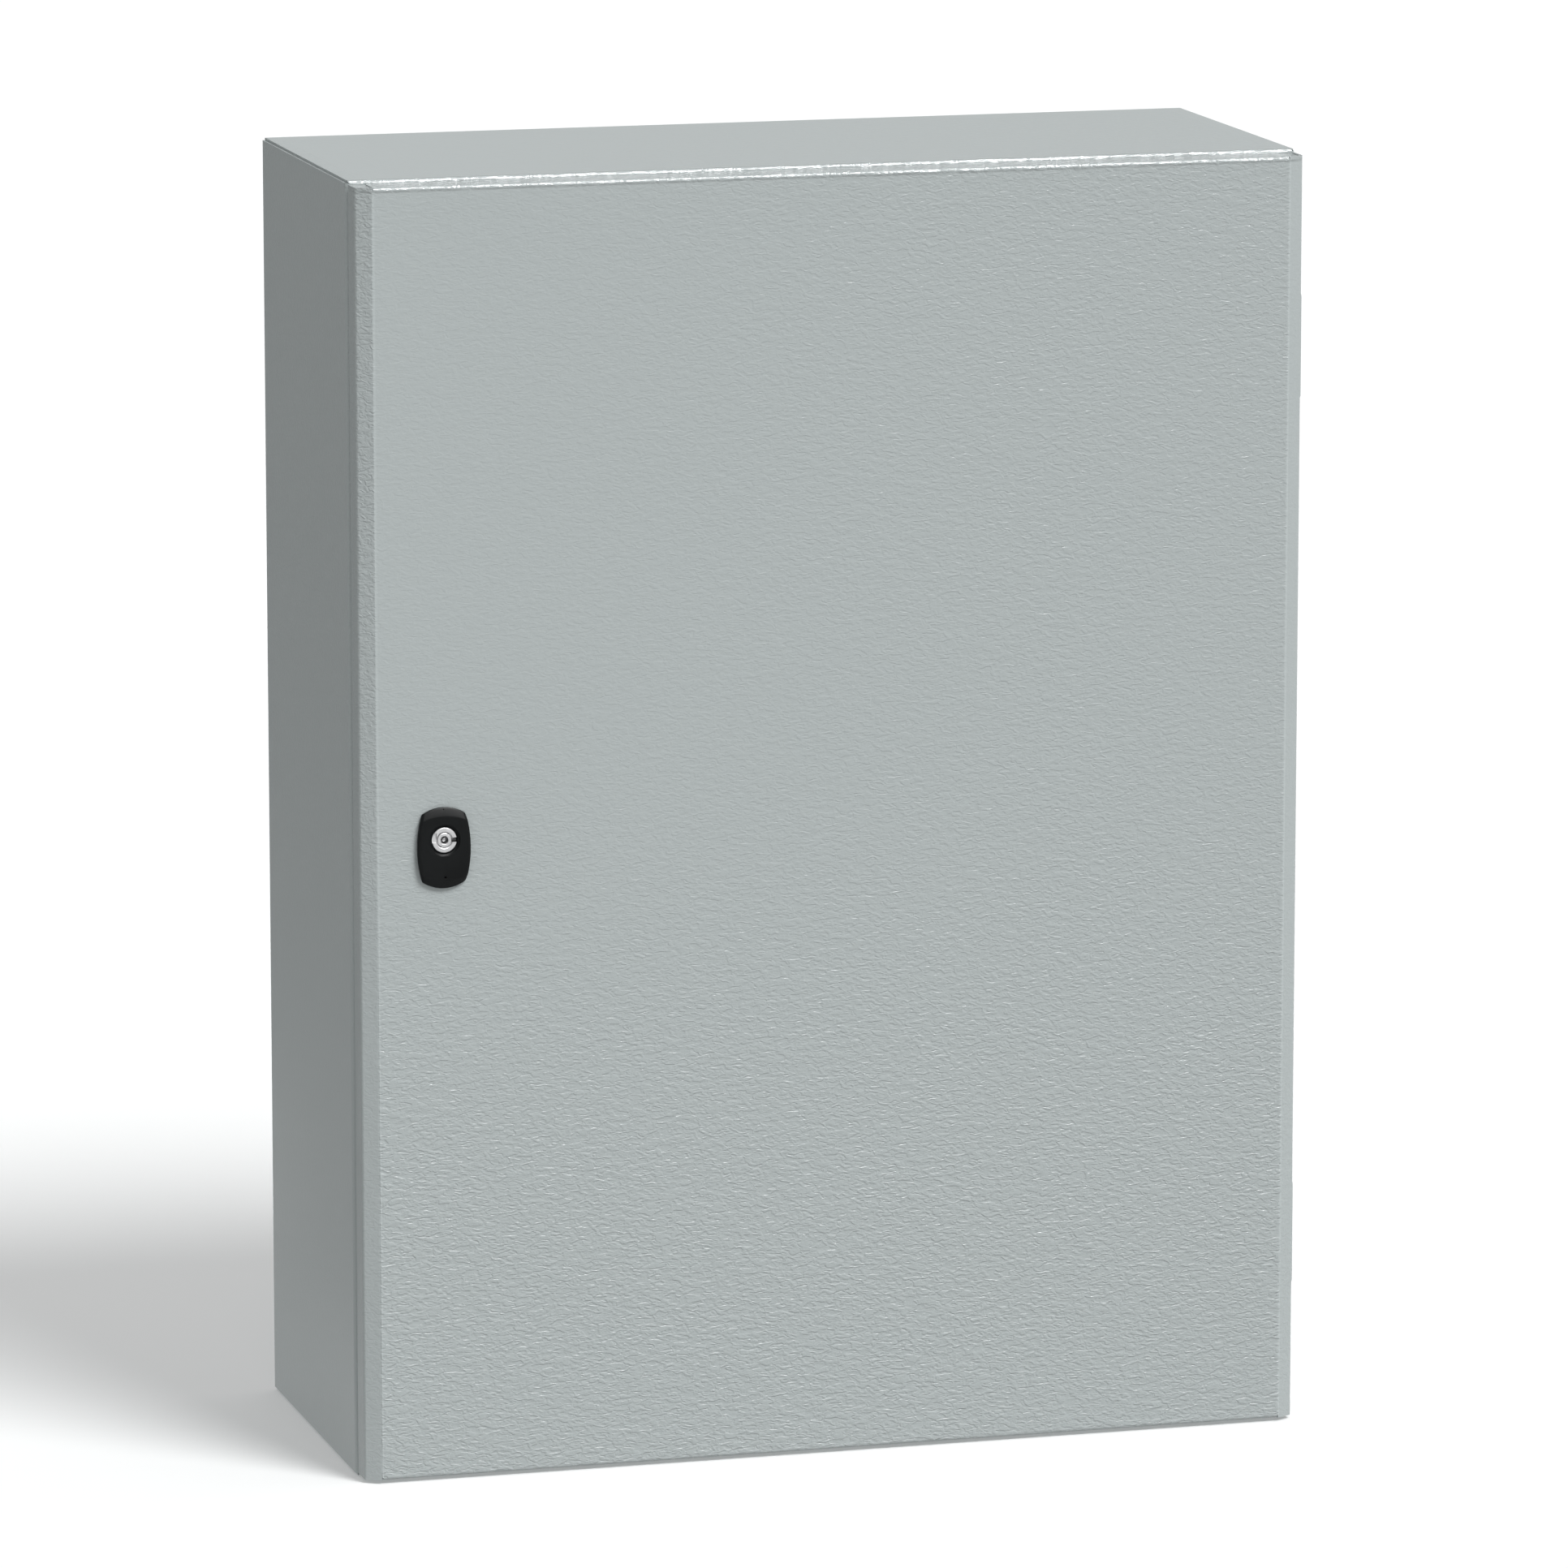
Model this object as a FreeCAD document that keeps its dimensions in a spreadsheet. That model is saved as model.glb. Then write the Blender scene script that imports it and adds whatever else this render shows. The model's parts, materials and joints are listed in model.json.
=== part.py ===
"""Wall-mounting switchboard cabinet: a folded steel enclosure with one door, concealed hinges
and a quarter-turn lock that drives two locking rods.

Frame: millimetres, +Z up, the door faces -Y, origin under the middle of the whole cabinet.
"""
import FreeCAD, Part
import Sketcher
import math
import os

VECTOR = FreeCAD.Vector

DRIVING_SIZES = {
    # enclosure
    "cab_width": 600, "cab_height": 800, "body_depth": 226, "sheet_wall": 1.5,
    "front_bend": 3, "lock_flange": 26, "hinge_flange": 34, "end_flange": 28,
    "rim_height": 12, "corner_gap": 0.1,
    "wall_hole_radius": 4.25, "wall_hole_side": 50, "wall_hole_end": 40,
    # door
    "door_depth": 24, "door_wall": 1.5, "door_side_inset": 1.25, "door_end_inset": 2,
    "door_back_gap": 2.2, "bevel_width": 10, "bevel_depth": 5.5, "fold_radius": 2,
    "seam_gap": 0.6, "tab_drop": 0.6, "gasket_width": 10, "gasket_clearance": 0.3,
    "rail_width": 24, "rail_height": 12, "rail_gap": 6, "rail_end": 60,
    "rail_hole_radius": 2.5, "rail_hole_pitch": 25, "rail_hole_count": 27,
    # mounting plate
    "plate_side": 35, "plate_end": 32.5, "plate_wall": 2.5, "plate_standoff": 18,
    "plate_stud_inset": 20, "stud_radius": 4, "stud_hole_gap": 0.5,
    "spacer_radius": 7, "washer_radius": 8, "washer_wall": 1.6,
    "nut_radius": 7.5, "nut_height": 6.5, "stud_spare": 4, "gland_stud_spare": 2,
    # gland plate
    "gland_width": 460, "gland_depth": 120, "gland_lap": 16, "gland_wall": 1.5,
    "gland_gasket": 2.5, "gland_stud_radius": 3, "gland_nut_radius": 5.77, "gland_nut_height": 5,
    # hinges
    "hinge_inset": 8, "hinge_from_end": 120, "knuckle_clearance": 1.2,
    "knuckle_radius": 4.5, "hinge_pin_radius": 2.5, "pin_gap": 0.05,
    "foot_height": 60, "foot_wall": 5, "foot_to_rim": 4.5, "foot_right": 3,
    "body_knuckle": 20, "leaf_knuckle": 12, "knuckle_gap": 0.3, "notch_gap": 2.5,
    "leaf_wall": 2.5, "leaf_to_gasket": 1.25, "leaf_right": 4, "leaf_end": 5.3,
    "ear_left": 7.5, "arm_left": 6.3, "arm_right": 1.8,
    "hinge_screw_radius": 3, "hinge_screw_head_radius": 5.77, "hinge_screw_head": 4,
    "hinge_screw_pitch": 40, "leaf_stud_radius": 2.5, "leaf_nut_clearance": 0.8,
    "leaf_nut_radius": 4.62, "leaf_nut_height": 4, "leaf_stud_spare": 1.5,
    "pin_head_radius": 4, "pin_head_height": 2, "ring_height": 1,
    # lock
    "lock_from_edge": 50.75, "escutcheon_drop": 5, "escutcheon_width": 33, "escutcheon_height": 50,
    "escutcheon_rise": 4, "escutcheon_corner_x": 13.6, "escutcheon_corner_z": 20.7,
    "escutcheon_round": 1.8, "insert_recess_radius": 9.7, "insert_recess": 1.4, "seal_wall": 0.5,
    "insert_radius": 7.75, "insert_gap": 0.05, "insert_sink": 0.6, "housing_radius": 11,
    "door_hole_gap": 0.25, "lock_nut_radius": 16, "lock_nut_height": 5, "square_drive": 8,
    "key_hole_radius": 2.35, "key_hole": 6, "key_pin_radius": 1.5, "key_ring_radius": 4.7,
    "key_ring_wall": 0.4, "key_notch_width": 2.5, "key_notch": 3,
    # locking rods
    "cam_behind_flange": 0.7, "cam_wall": 3, "cam_radius": 19, "cam_throw": 15.5,
    "cam_pin_radius": 2.5, "tongue_length": 34, "tongue_width": 16, "cam_screw_head": 5,
    "rod_gap": 0.5, "rod_wall": 3, "rod_width": 16, "rod_slot_gap": 0.6, "rod_slot_end": 0.5,
    "yoke_inner": 5.7, "yoke_outer": 21, "yoke_reach": 19, "yoke_split": 22, "yoke_slope": 12,
    "rod_tip_gap": 4, "shoe_width": 22, "shoe_length": 28, "shoe_depth": 20, "shoe_taper": 2.8,
    "shoe_ramp": 14, "shoe_back": 2, "guide_width": 24, "guide_height": 24, "guide_gap": 0.3,
    "guide_wall": 2.5, "guide_near": 75, "guide_far": 300, "guide_screw_radius": 2.4,
    "guide_screw_head_radius": 4.3, "guide_screw_head": 3, "guide_screw_reach": 4, "seal_radius": 13.2,
    # earthing
    "earth_height": 60, "earth_from_back": 45, "earth_length": 22, "door_earth_x": 170,
}


class Size:
    """A length known both as a formula on the sheet and as its present value."""

    def __init__(self, text, value):
        self.text = text
        self.value = value

    def join(self, other, sign, value):
        return Size(f"({self.text} {sign} {as_size(other).text})", value)

    def __add__(self, other):
        return self.join(other, "+", self.value + as_size(other).value)

    def __sub__(self, other):
        return self.join(other, "-", self.value - as_size(other).value)

    def __mul__(self, other):
        return self.join(other, "*", self.value * as_size(other).value)

    def __truediv__(self, other):
        return self.join(other, "/", self.value / as_size(other).value)

    def __radd__(self, other):
        return as_size(other) + self

    def __rsub__(self, other):
        return as_size(other) - self

    def __rmul__(self, other):
        return as_size(other) * self

    def __neg__(self):
        return as_size(0) - self


def as_size(number):
    return number if isinstance(number, Size) else Size(str(number), number)


def make_sheet(doc):
    sheet = doc.addObject("Spreadsheet::Sheet", "Sizes")
    for row, (alias, number) in enumerate(DRIVING_SIZES.items(), start=1):
        sheet.set(f"A{row}", alias)
        sheet.set(f"B{row}", str(number))
        sheet.setAlias(f"B{row}", alias)
    doc.recompute()
    return sheet


def bind(item, prop, size):
    item.setExpression(prop, as_size(size).text)


# ---- Part primitives -----------------------------------------------------------------------

def place(item, x, y, z):
    for axis, size in zip("xyz", (x, y, z)):
        bind(item, f"Placement.Base.{axis}", size)
    return item


def box(x, y, z):
    """A box between three pairs of planes, each pair (low, high)."""
    item = doc.addObject("Part::Box", "Box")
    for prop, (low, high) in zip(("Length", "Width", "Height"), (x, y, z)):
        bind(item, prop, as_size(high) - low)
    return place(item, x[0], y[0], z[0])


TURN_TO = {"X": FreeCAD.Rotation(VECTOR(0, 1, 0), 90), "Y": FreeCAD.Rotation(VECTOR(1, 0, 0), -90),
           "Z": FreeCAD.Rotation()}


def along(item, axis, centre, span):
    """Stand a round item along an axis, from span[0] to span[1], on the other two coordinates."""
    bind(item, "Height", as_size(span[1]) - span[0])
    item.Placement = FreeCAD.Placement(VECTOR(), TURN_TO[axis])
    spots = list(centre)
    spots.insert("XYZ".index(axis), span[0])
    return place(item, *spots)


def cylinder(axis, centre, span, radius):
    item = doc.addObject("Part::Cylinder", "Cylinder")
    bind(item, "Radius", radius)
    return along(item, axis, centre, span)


def hexagon(axis, centre, span, corner_radius):
    item = doc.addObject("Part::Prism", "Hexagon")
    item.Polygon = 6
    bind(item, "Circumradius", corner_radius)
    return along(item, axis, centre, span)


def fuse(*items):
    item = doc.addObject("Part::MultiFuse", "Fuse")
    item.Shapes = list(items)
    return item


def cut(base, *tools):
    item = doc.addObject("Part::Cut", "Cut")
    item.Base = base
    item.Tool = tools[0] if len(tools) == 1 else fuse(*tools)
    return item


def group(items):
    item = doc.addObject("Part::Compound", "Group")
    item.Links = list(items)
    return item


def tube(axis, centre, span, radius, bore):
    return cut(cylinder(axis, centre, span, radius), cylinder(axis, centre, span, bore))


def nut(axis, centre, span, corner_radius, bore):
    return cut(hexagon(axis, centre, span, corner_radius), cylinder(axis, centre, span, bore))


# ---- PartDesign bodies ---------------------------------------------------------------------

PLANES = {"Z": "XY_Plane", "Y": "XZ_Plane", "X": "YZ_Plane"}
CUTS = []


def make_body(name):
    return doc.addObject("PartDesign::Body", name + "_body")


def make_sketch(body, axis, level):
    """A sketch square to an axis, at a level along it. The XZ plane's own normal is -Y."""
    sketch = body.newObject("Sketcher::SketchObject", "Sketch")
    plane = [item for item in body.Origin.OriginFeatures if item.Role == PLANES[axis]][0]
    sketch.AttachmentSupport = [(plane, "")]
    sketch.MapMode = "FlatFace"
    bind(sketch, "AttachmentOffset.Base.z", -as_size(level) if axis == "Y" else level)
    return sketch


def constrain(sketch, kind, *where, size):
    number = sketch.addConstraint(Sketcher.Constraint(kind, *where, float(as_size(size).value)))
    bind(sketch, f"Constraints[{number}]", size)


def fix_point(sketch, edge, end, x=None, y=None):
    for kind, size in (("DistanceX", x), ("DistanceY", y)):
        if size is not None:
            constrain(sketch, kind, -1, 1, edge, end, size=size)


def draw_outline(sketch, corners):
    """A closed outline of (x, y) or (x, y, radius) corners; rounded ones join level edges."""
    corners = [tuple(as_size(size) for size in corner) for corner in corners]
    count = len(corners)
    radii = [corner[2] if len(corner) == 3 else None for corner in corners]
    kinds = []
    for index, corner in enumerate(corners):
        after = corners[(index + 1) % count]
        same = [corner[side].text == after[side].text for side in (0, 1)]
        kinds.append("Vertical" if same[0] else "Horizontal" if same[1] else "Sloped")

    def pulled(index, other):
        """The corner, moved along its edge towards another by its radius."""
        spot = VECTOR(corners[index][0].value, corners[index][1].value, 0)
        if radii[index] is None:
            return spot
        way = VECTOR(corners[other][0].value, corners[other][1].value, 0) - spot
        return spot + way.normalize() * radii[index].value

    edges = []
    for index in range(count):
        after = (index + 1) % count
        line = Part.LineSegment(pulled(index, after), pulled(after, index))
        edges.append(sketch.addGeometry(line))
        if kinds[index] == "Vertical":
            sketch.addConstraint(Sketcher.Constraint("Vertical", edges[index]))
            fix_point(sketch, edges[index], 1, x=corners[index][0])
        if kinds[index] == "Horizontal":
            sketch.addConstraint(Sketcher.Constraint("Horizontal", edges[index]))
            fix_point(sketch, edges[index], 1, y=corners[index][1])
    for index in range(count):
        before = (index - 1) % count
        if radii[index] is None:
            sketch.addConstraint(Sketcher.Constraint("Coincident", edges[before], 2, edges[index], 1))
            near = (kinds[before], kinds[index])
            fix_point(sketch, edges[index], 1,
                      x=None if "Vertical" in near else corners[index][0],
                      y=None if "Horizontal" in near else corners[index][1])
        else:
            round_corner(sketch, edges[before], edges[index], radii[index])


def round_corner(sketch, before, after, radius):
    start = sketch.Geometry[before].EndPoint
    end = sketch.Geometry[after].StartPoint
    first = (sketch.Geometry[before].EndPoint - sketch.Geometry[before].StartPoint).normalize()
    last = (sketch.Geometry[after].EndPoint - sketch.Geometry[after].StartPoint).normalize()
    turn = first.x * last.y - first.y * last.x
    centre = start + VECTOR(-first.y, first.x, 0) * math.copysign(radius.value, turn)
    angles = [math.atan2(spot.y - centre.y, spot.x - centre.x) for spot in (start, end)]
    circle = Part.Circle(centre, VECTOR(0, 0, 1), radius.value)
    if turn < 0:
        angles.reverse()
    arc = sketch.addGeometry(Part.ArcOfCircle(circle, angles[0], angles[1]))
    ends = (1, 2) if turn > 0 else (2, 1)
    sketch.addConstraint(Sketcher.Constraint("Tangent", before, 2, arc, ends[0]))
    sketch.addConstraint(Sketcher.Constraint("Tangent", arc, ends[1], after, 1))
    constrain(sketch, "Radius", arc, size=radius)


def draw_circles(sketch, circles):
    for x, y, radius in circles:
        circle = Part.Circle(VECTOR(as_size(x).value, as_size(y).value, 0), VECTOR(0, 0, 1),
                             as_size(radius).value)
        edge = sketch.addGeometry(circle)
        fix_point(sketch, edge, 3, x=x, y=y)
        constrain(sketch, "Radius", edge, size=radius)


def pad(body, axis, span, corners=None, circles=()):
    """Add the outline and circles, solid from span[0] to span[1] along the axis."""
    sketch = make_sketch(body, axis, span[1] if axis == "Y" else span[0])
    if corners:
        draw_outline(sketch, corners)
    draw_circles(sketch, circles)
    feature = body.newObject("PartDesign::Pad", "Pad")
    feature.Profile = sketch
    bind(feature, "Length", as_size(span[1]) - span[0])
    return feature


def pocket(body, axis, span, corners=None, circles=()):
    """Cut the outline and circles away from span[0] to span[1] along the axis."""
    sketch = make_sketch(body, axis, span[0] if axis == "Y" else span[1])
    if corners:
        draw_outline(sketch, corners)
    draw_circles(sketch, circles)
    feature = body.newObject("PartDesign::Pocket", "Pocket")
    feature.Profile = sketch
    bind(feature, "Length", as_size(span[1]) - span[0])
    CUTS.append(feature)
    return feature


def rectangle(x, y):
    return [(x[0], y[0]), (x[1], y[0]), (x[1], y[1]), (x[0], y[1])]


def mirrored(corners):
    """The same outline on the other side of x = 0."""
    return [(-as_size(corner[0]),) + tuple(corner[1:]) for corner in corners]


def round_front_edges(body, y, radius):
    """Fillet the edges that lie wholly at the front of the body, at y."""
    doc.recompute()
    base = body.Tip
    level = as_size(y).value
    names = [f"Edge{number}" for number, edge in enumerate(base.Shape.Edges, start=1)
             if abs(edge.BoundBox.YMax - level) < 0.01 and abs(edge.BoundBox.YMin - level) < 0.01]
    fillet = body.newObject("PartDesign::Fillet", "Fillet")
    fillet.Base = (base, names)
    bind(fillet, "Radius", radius)
    return fillet


NODES = {}


def keep(name, item):
    """Name a finished piece: its label is its node's name."""
    item.Label = name
    NODES[name] = item
    return item


def fold_shift(rise, run, wall):
    """How far an inner corner lies from the outer one, along the flat sheet, at a shallow fold."""
    value = wall.value * math.tan(math.atan2(rise.value, run.value) / 2)
    return Size(f"({wall.text} * tan(atan({rise.text} / {run.text}) / 2))", value)


def knuckle_level():
    """The hinge axis lies just far enough behind the door's bevel for the knuckles to clear it."""
    rise, run = S["bevel_depth"], S["bevel_width"]
    clear = S["knuckle_radius"] + S["knuckle_clearance"]
    slant = Size(f"sqrt(1 + ({rise.text} / {run.text})^2)", math.hypot(1, rise.value / run.value))
    bevel = INNER + (HINGE_X - FLAT_SIDE + fold_shift(rise, run, S["door_wall"])) * rise / run
    return bevel + clear * slant


# ---- the cabinet's planes ------------------------------------------------------------------

doc = FreeCAD.newDocument("cabinet")
sheet = make_sheet(doc)
S = {alias: Size(f"Sizes.{alias}", number) for alias, number in DRIVING_SIZES.items()}

SIDE = S["cab_width"] / 2
TOP = S["cab_height"]
WALL = S["sheet_wall"]
LOCK_RISE = S["escutcheon_rise"] + S["seal_wall"]
FRONT = (S["door_depth"] + LOCK_RISE - S["body_depth"]) / 2
BACK = FRONT + S["body_depth"]
RIM_FRONT = FRONT - S["rim_height"]
FACE = FRONT - S["door_depth"]
INNER = FACE + S["door_wall"]
DOOR_BACK = FRONT - S["door_back_gap"]
DOOR_SIDE = SIDE - S["door_side_inset"]
FLAT_SIDE = DOOR_SIDE - S["bevel_width"]
DOOR_LOW = S["door_end_inset"]
DOOR_HIGH = TOP - S["door_end_inset"]
OPEN_LEFT = S["lock_flange"] - SIDE
OPEN_RIGHT = SIDE - S["hinge_flange"]
OPEN_LOW = S["end_flange"]
OPEN_HIGH = TOP - S["end_flange"]
HINGE_X = SIDE - S["hinge_inset"]
HINGE_Y = knuckle_level()
FOOT_LEFT = OPEN_RIGHT + WALL + S["foot_to_rim"]
BRACKET_SCREW_X = (FOOT_LEFT + HINGE_X) / 2
LOCK_X = S["lock_from_edge"] - DOOR_SIDE
LOCK_Z = TOP / 2
RAIL_X = -LOCK_X - S["guide_width"] / 2 - S["rail_gap"] - S["rail_width"] / 2
RAIL_BACK = INNER + S["rail_height"]


# ---- enclosure body ------------------------------------------------------------------------

def make_side_panel(name, flange, left):
    """Side wall with its front folded in and then forwards into the sealing rim."""
    corners = [(SIDE, FRONT, S["front_bend"]), (SIDE, BACK), (SIDE - WALL, BACK),
               (SIDE - WALL, FRONT + WALL), (SIDE - flange, FRONT + WALL),
               (SIDE - flange, RIM_FRONT), (SIDE - flange + WALL, RIM_FRONT),
               (SIDE - flange + WALL, FRONT)]
    stub = SIDE - S["front_bend"] - S["corner_gap"]
    ends = rectangle((SIDE - flange - WALL, stub), (RIM_FRONT - WALL, FRONT + 2 * WALL))
    if left:
        corners = mirrored(corners)
        ends = mirrored(ends)
    body = make_body(name)
    pad(body, "Z", (WALL, TOP - WALL), corners)
    pocket(body, "Z", (OPEN_HIGH, TOP), ends)
    pocket(body, "Z", (0, OPEN_LOW), ends)
    if not left:
        screws = [(BRACKET_SCREW_X, z + turn * S["hinge_screw_pitch"] / 2,
                   S["hinge_screw_radius"] + S["corner_gap"])
                  for z in hinge_levels().values() for turn in (-1, 1)]
        pocket(body, "Y", (FRONT - WALL, FRONT + 2 * WALL), circles=screws)
    return keep(name, body)


def make_end_panel(name, top):
    """Top or bottom sheet: between the side walls, folded and rimmed like them at the front."""
    outer, step = (TOP, -1) if top else (as_size(0), 1)
    inner = outer + step * WALL
    opening = OPEN_HIGH if top else OPEN_LOW
    corners = [(FRONT, outer, S["front_bend"]), (BACK, outer), (BACK, inner),
               (FRONT + WALL, inner), (FRONT + WALL, opening), (RIM_FRONT, opening),
               (RIM_FRONT, opening - step * WALL), (FRONT, opening - step * WALL)]
    body = make_body(name)
    pad(body, "X", (WALL - SIDE, SIDE - WALL), corners)
    below = (OPEN_HIGH - WALL, TOP - WALL) if top else (WALL, OPEN_LOW + WALL)
    rim_level = (OPEN_HIGH - WALL, OPEN_HIGH + WALL) if top else (OPEN_LOW - WALL, OPEN_LOW + WALL)
    flange_end = SIDE - S["front_bend"] - 2 * S["corner_gap"]
    for low, high in ((-SIDE, -flange_end), (flange_end, SIDE)):
        pocket(body, "Z", below, rectangle((low, high), (RIM_FRONT - WALL, FRONT + 2 * WALL)))
    for low, high in ((-SIDE, OPEN_LEFT - WALL), (OPEN_RIGHT + WALL, SIDE)):
        pocket(body, "Z", rim_level, rectangle((low, high), (RIM_FRONT - WALL, FRONT)))
    return keep(name, body)


def gland_box(margin):
    """The gland opening's outline, in x and y, grown by a margin."""
    middle = (FRONT + BACK) / 2
    half = S["gland_depth"] / 2 + margin
    return rectangle((-(S["gland_width"] / 2) - margin, S["gland_width"] / 2 + margin),
                     (middle - half, middle + half))


def gland_stud_spots():
    middle = (FRONT + BACK) / 2
    x = S["gland_width"] / 2 + S["gland_lap"] / 2
    y = S["gland_depth"] / 2 + S["gland_lap"] / 2
    spots = [(side * x, middle + turn * y) for side in (-1, 1) for turn in (-1, 1)]
    return spots + [(side * x / 3, middle + turn * y) for side in (-1, 1) for turn in (-1, 1)]


def make_gland_plate():
    floor = WALL + S["gland_gasket"]
    over = floor + S["gland_wall"]
    hole = S["gland_stud_radius"] + S["stud_hole_gap"]
    holes = [(x, y, hole) for x, y in gland_stud_spots()]
    pocket(NODES["bottom_panel"], "Z", (0, WALL), gland_box(0))
    seal = make_body("gland_plate_gasket")
    pad(seal, "Z", (WALL, floor), gland_box(S["gland_lap"]), holes)
    pocket(seal, "Z", (WALL, floor), gland_box(0))
    keep("gland_plate_gasket", seal)
    plate = make_body("gland_plate")
    pad(plate, "Z", (floor, over), gland_box(S["gland_lap"]), holes)
    keep("gland_plate", plate)
    nut_top = over + S["gland_nut_height"]
    radius = S["gland_stud_radius"]
    keep("gland_plate_studs", group(cylinder("Z", spot, (WALL, nut_top + S["gland_stud_spare"]), radius)
                                    for spot in gland_stud_spots()))
    keep("gland_plate_nuts", group(nut("Z", spot, (over, nut_top), S["gland_nut_radius"], radius)
                                   for spot in gland_stud_spots()))


def make_back_panel():
    x = SIDE - S["wall_hole_side"]
    holes = [(side * x, z, S["wall_hole_radius"])
             for side in (-1, 1) for z in (S["wall_hole_end"], TOP - S["wall_hole_end"])]
    body = make_body("back_panel")
    pad(body, "Y", (BACK - WALL, BACK), rectangle((WALL - SIDE, SIDE - WALL), (WALL, TOP - WALL)),
        holes)
    keep("back_panel", body)


def make_mounting_plate():
    rear = BACK - WALL - S["plate_standoff"]
    front = rear - S["plate_wall"]
    half = SIDE - S["plate_side"]
    low = S["plate_end"]
    inset = S["plate_stud_inset"]
    spots = [(side * (half - inset), z)
             for side in (-1, 1) for z in (low + inset, TOP - low - inset)]
    radius = S["stud_radius"]
    hole = radius + S["stud_hole_gap"]
    body = make_body("mounting_plate")
    pad(body, "Y", (front, rear), rectangle((-half, half), (low, TOP - low)),
        [(x, z, hole) for x, z in spots])
    keep("mounting_plate", body)
    washer_front = front - S["washer_wall"]
    nut_front = washer_front - S["nut_height"]
    keep("mounting_studs", group(cylinder("Y", spot, (nut_front - S["stud_spare"], BACK - WALL), radius)
                                 for spot in spots))
    keep("plate_spacers", group(tube("Y", spot, (rear, BACK - WALL), S["spacer_radius"], radius)
                                for spot in spots))
    keep("plate_washers", group(tube("Y", spot, (washer_front, front), S["washer_radius"], radius)
                                for spot in spots))
    keep("plate_nuts", group(nut("Y", spot, (nut_front, washer_front), S["nut_radius"], radius)
                             for spot in spots))


def make_earthing():
    """One stud inside the right wall and one inside the door, each with its washer and nut."""
    radius = S["stud_radius"]
    wall = SIDE - WALL
    spot = (BACK - S["earth_from_back"], S["earth_height"])
    seat = wall - S["washer_wall"]
    keep("body_earth_stud", cylinder("X", spot, (wall - S["earth_length"], wall), radius))
    keep("body_earth_washer", tube("X", spot, (seat, wall), S["washer_radius"], radius))
    keep("body_earth_nut", nut("X", spot, (seat - S["nut_height"], seat), S["nut_radius"], radius))
    spot = (S["door_earth_x"], S["earth_height"])
    seat = INNER + S["washer_wall"]
    keep("door_earth_stud", cylinder("Y", spot, (INNER, INNER + S["earth_length"]), radius))
    keep("door_earth_washer", tube("Y", spot, (INNER, seat), S["washer_radius"], radius))
    keep("door_earth_nut", nut("Y", spot, (seat, seat + S["nut_height"]), S["nut_radius"], radius))


# ---- door ----------------------------------------------------------------------------------

def make_door_panel():
    wall = S["door_wall"]
    rise, run = S["bevel_depth"], S["bevel_width"]
    flat_in = FLAT_SIDE - fold_shift(rise, run, wall)
    side_in = FACE + rise + fold_shift(run, rise, wall)
    right = [(FLAT_SIDE, FACE), (DOOR_SIDE, FACE + rise), (DOOR_SIDE, DOOR_BACK),
             (DOOR_SIDE - wall, DOOR_BACK), (DOOR_SIDE - wall, side_in), (flat_in, INNER)]
    left = [(-x, y) for x, y in reversed(right)]
    body = make_body("door_panel")
    pad(body, "Z", (DOOR_LOW, DOOR_HIGH), right + left)
    flat_end = FLAT_SIDE - S["seam_gap"]
    depth = (FACE - wall, DOOR_BACK + wall)
    radius = S["fold_radius"]
    for edge, step in ((DOOR_HIGH, -1), (DOOR_LOW, 1)):
        inner = edge + step * radius
        span = (inner, edge) if step < 0 else (edge, inner)
        pocket(body, "Z", span, rectangle((-FLAT_SIDE, FLAT_SIDE), depth))
        pad(body, "X", (-flat_end, flat_end),
            [(FACE, edge, radius), (DOOR_BACK, edge), (DOOR_BACK, edge + step * wall),
             (INNER, edge + step * wall), (INNER, inner + step * wall), (FACE, inner + step * wall)])
        tab = edge + step * S["tab_drop"]
        tab_in = tab + step * wall
        tab_span = (tab_in, tab) if step < 0 else (tab, tab_in)
        shape = [(flat_end - 2 * wall, INNER - wall / 2), (flat_in, INNER - wall / 2),
                 (DOOR_SIDE - wall / 2, side_in), (DOOR_SIDE - wall / 2, DOOR_BACK),
                 (flat_end - 2 * wall, DOOR_BACK)]
        pad(body, "Z", tab_span, shape)
        pad(body, "Z", tab_span, mirrored(shape))
    half = (S["foot_height"] / 2) + S["notch_gap"]
    for z in hinge_levels().values():
        pocket(body, "Z", (z - half, z + half),
               rectangle((DOOR_SIDE - 2 * wall, DOOR_SIDE + wall), (FACE + rise, DOOR_BACK + wall)))
    pocket(body, "Y", (FACE - wall, INNER + wall),
           circles=[(LOCK_X, LOCK_Z, S["housing_radius"] + S["door_hole_gap"])])
    return keep("door_panel", body)


def make_door_gasket():
    """Foamed ring on the door's inside, a little short of touching the enclosure's rim."""
    half = S["gasket_width"] / 2
    x = (OPEN_LEFT - WALL / 2, OPEN_RIGHT + WALL / 2)
    z = (OPEN_LOW - WALL / 2, OPEN_HIGH + WALL / 2)
    span = (INNER, RIM_FRONT - S["gasket_clearance"])
    body = make_body("door_gasket")
    pad(body, "Y", span, rectangle((x[0] - half, x[1] + half), (z[0] - half, z[1] + half)))
    pocket(body, "Y", span, rectangle((x[0] + half, x[1] - half), (z[0] + half, z[1] - half)))
    keep("door_gasket", body)


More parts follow.
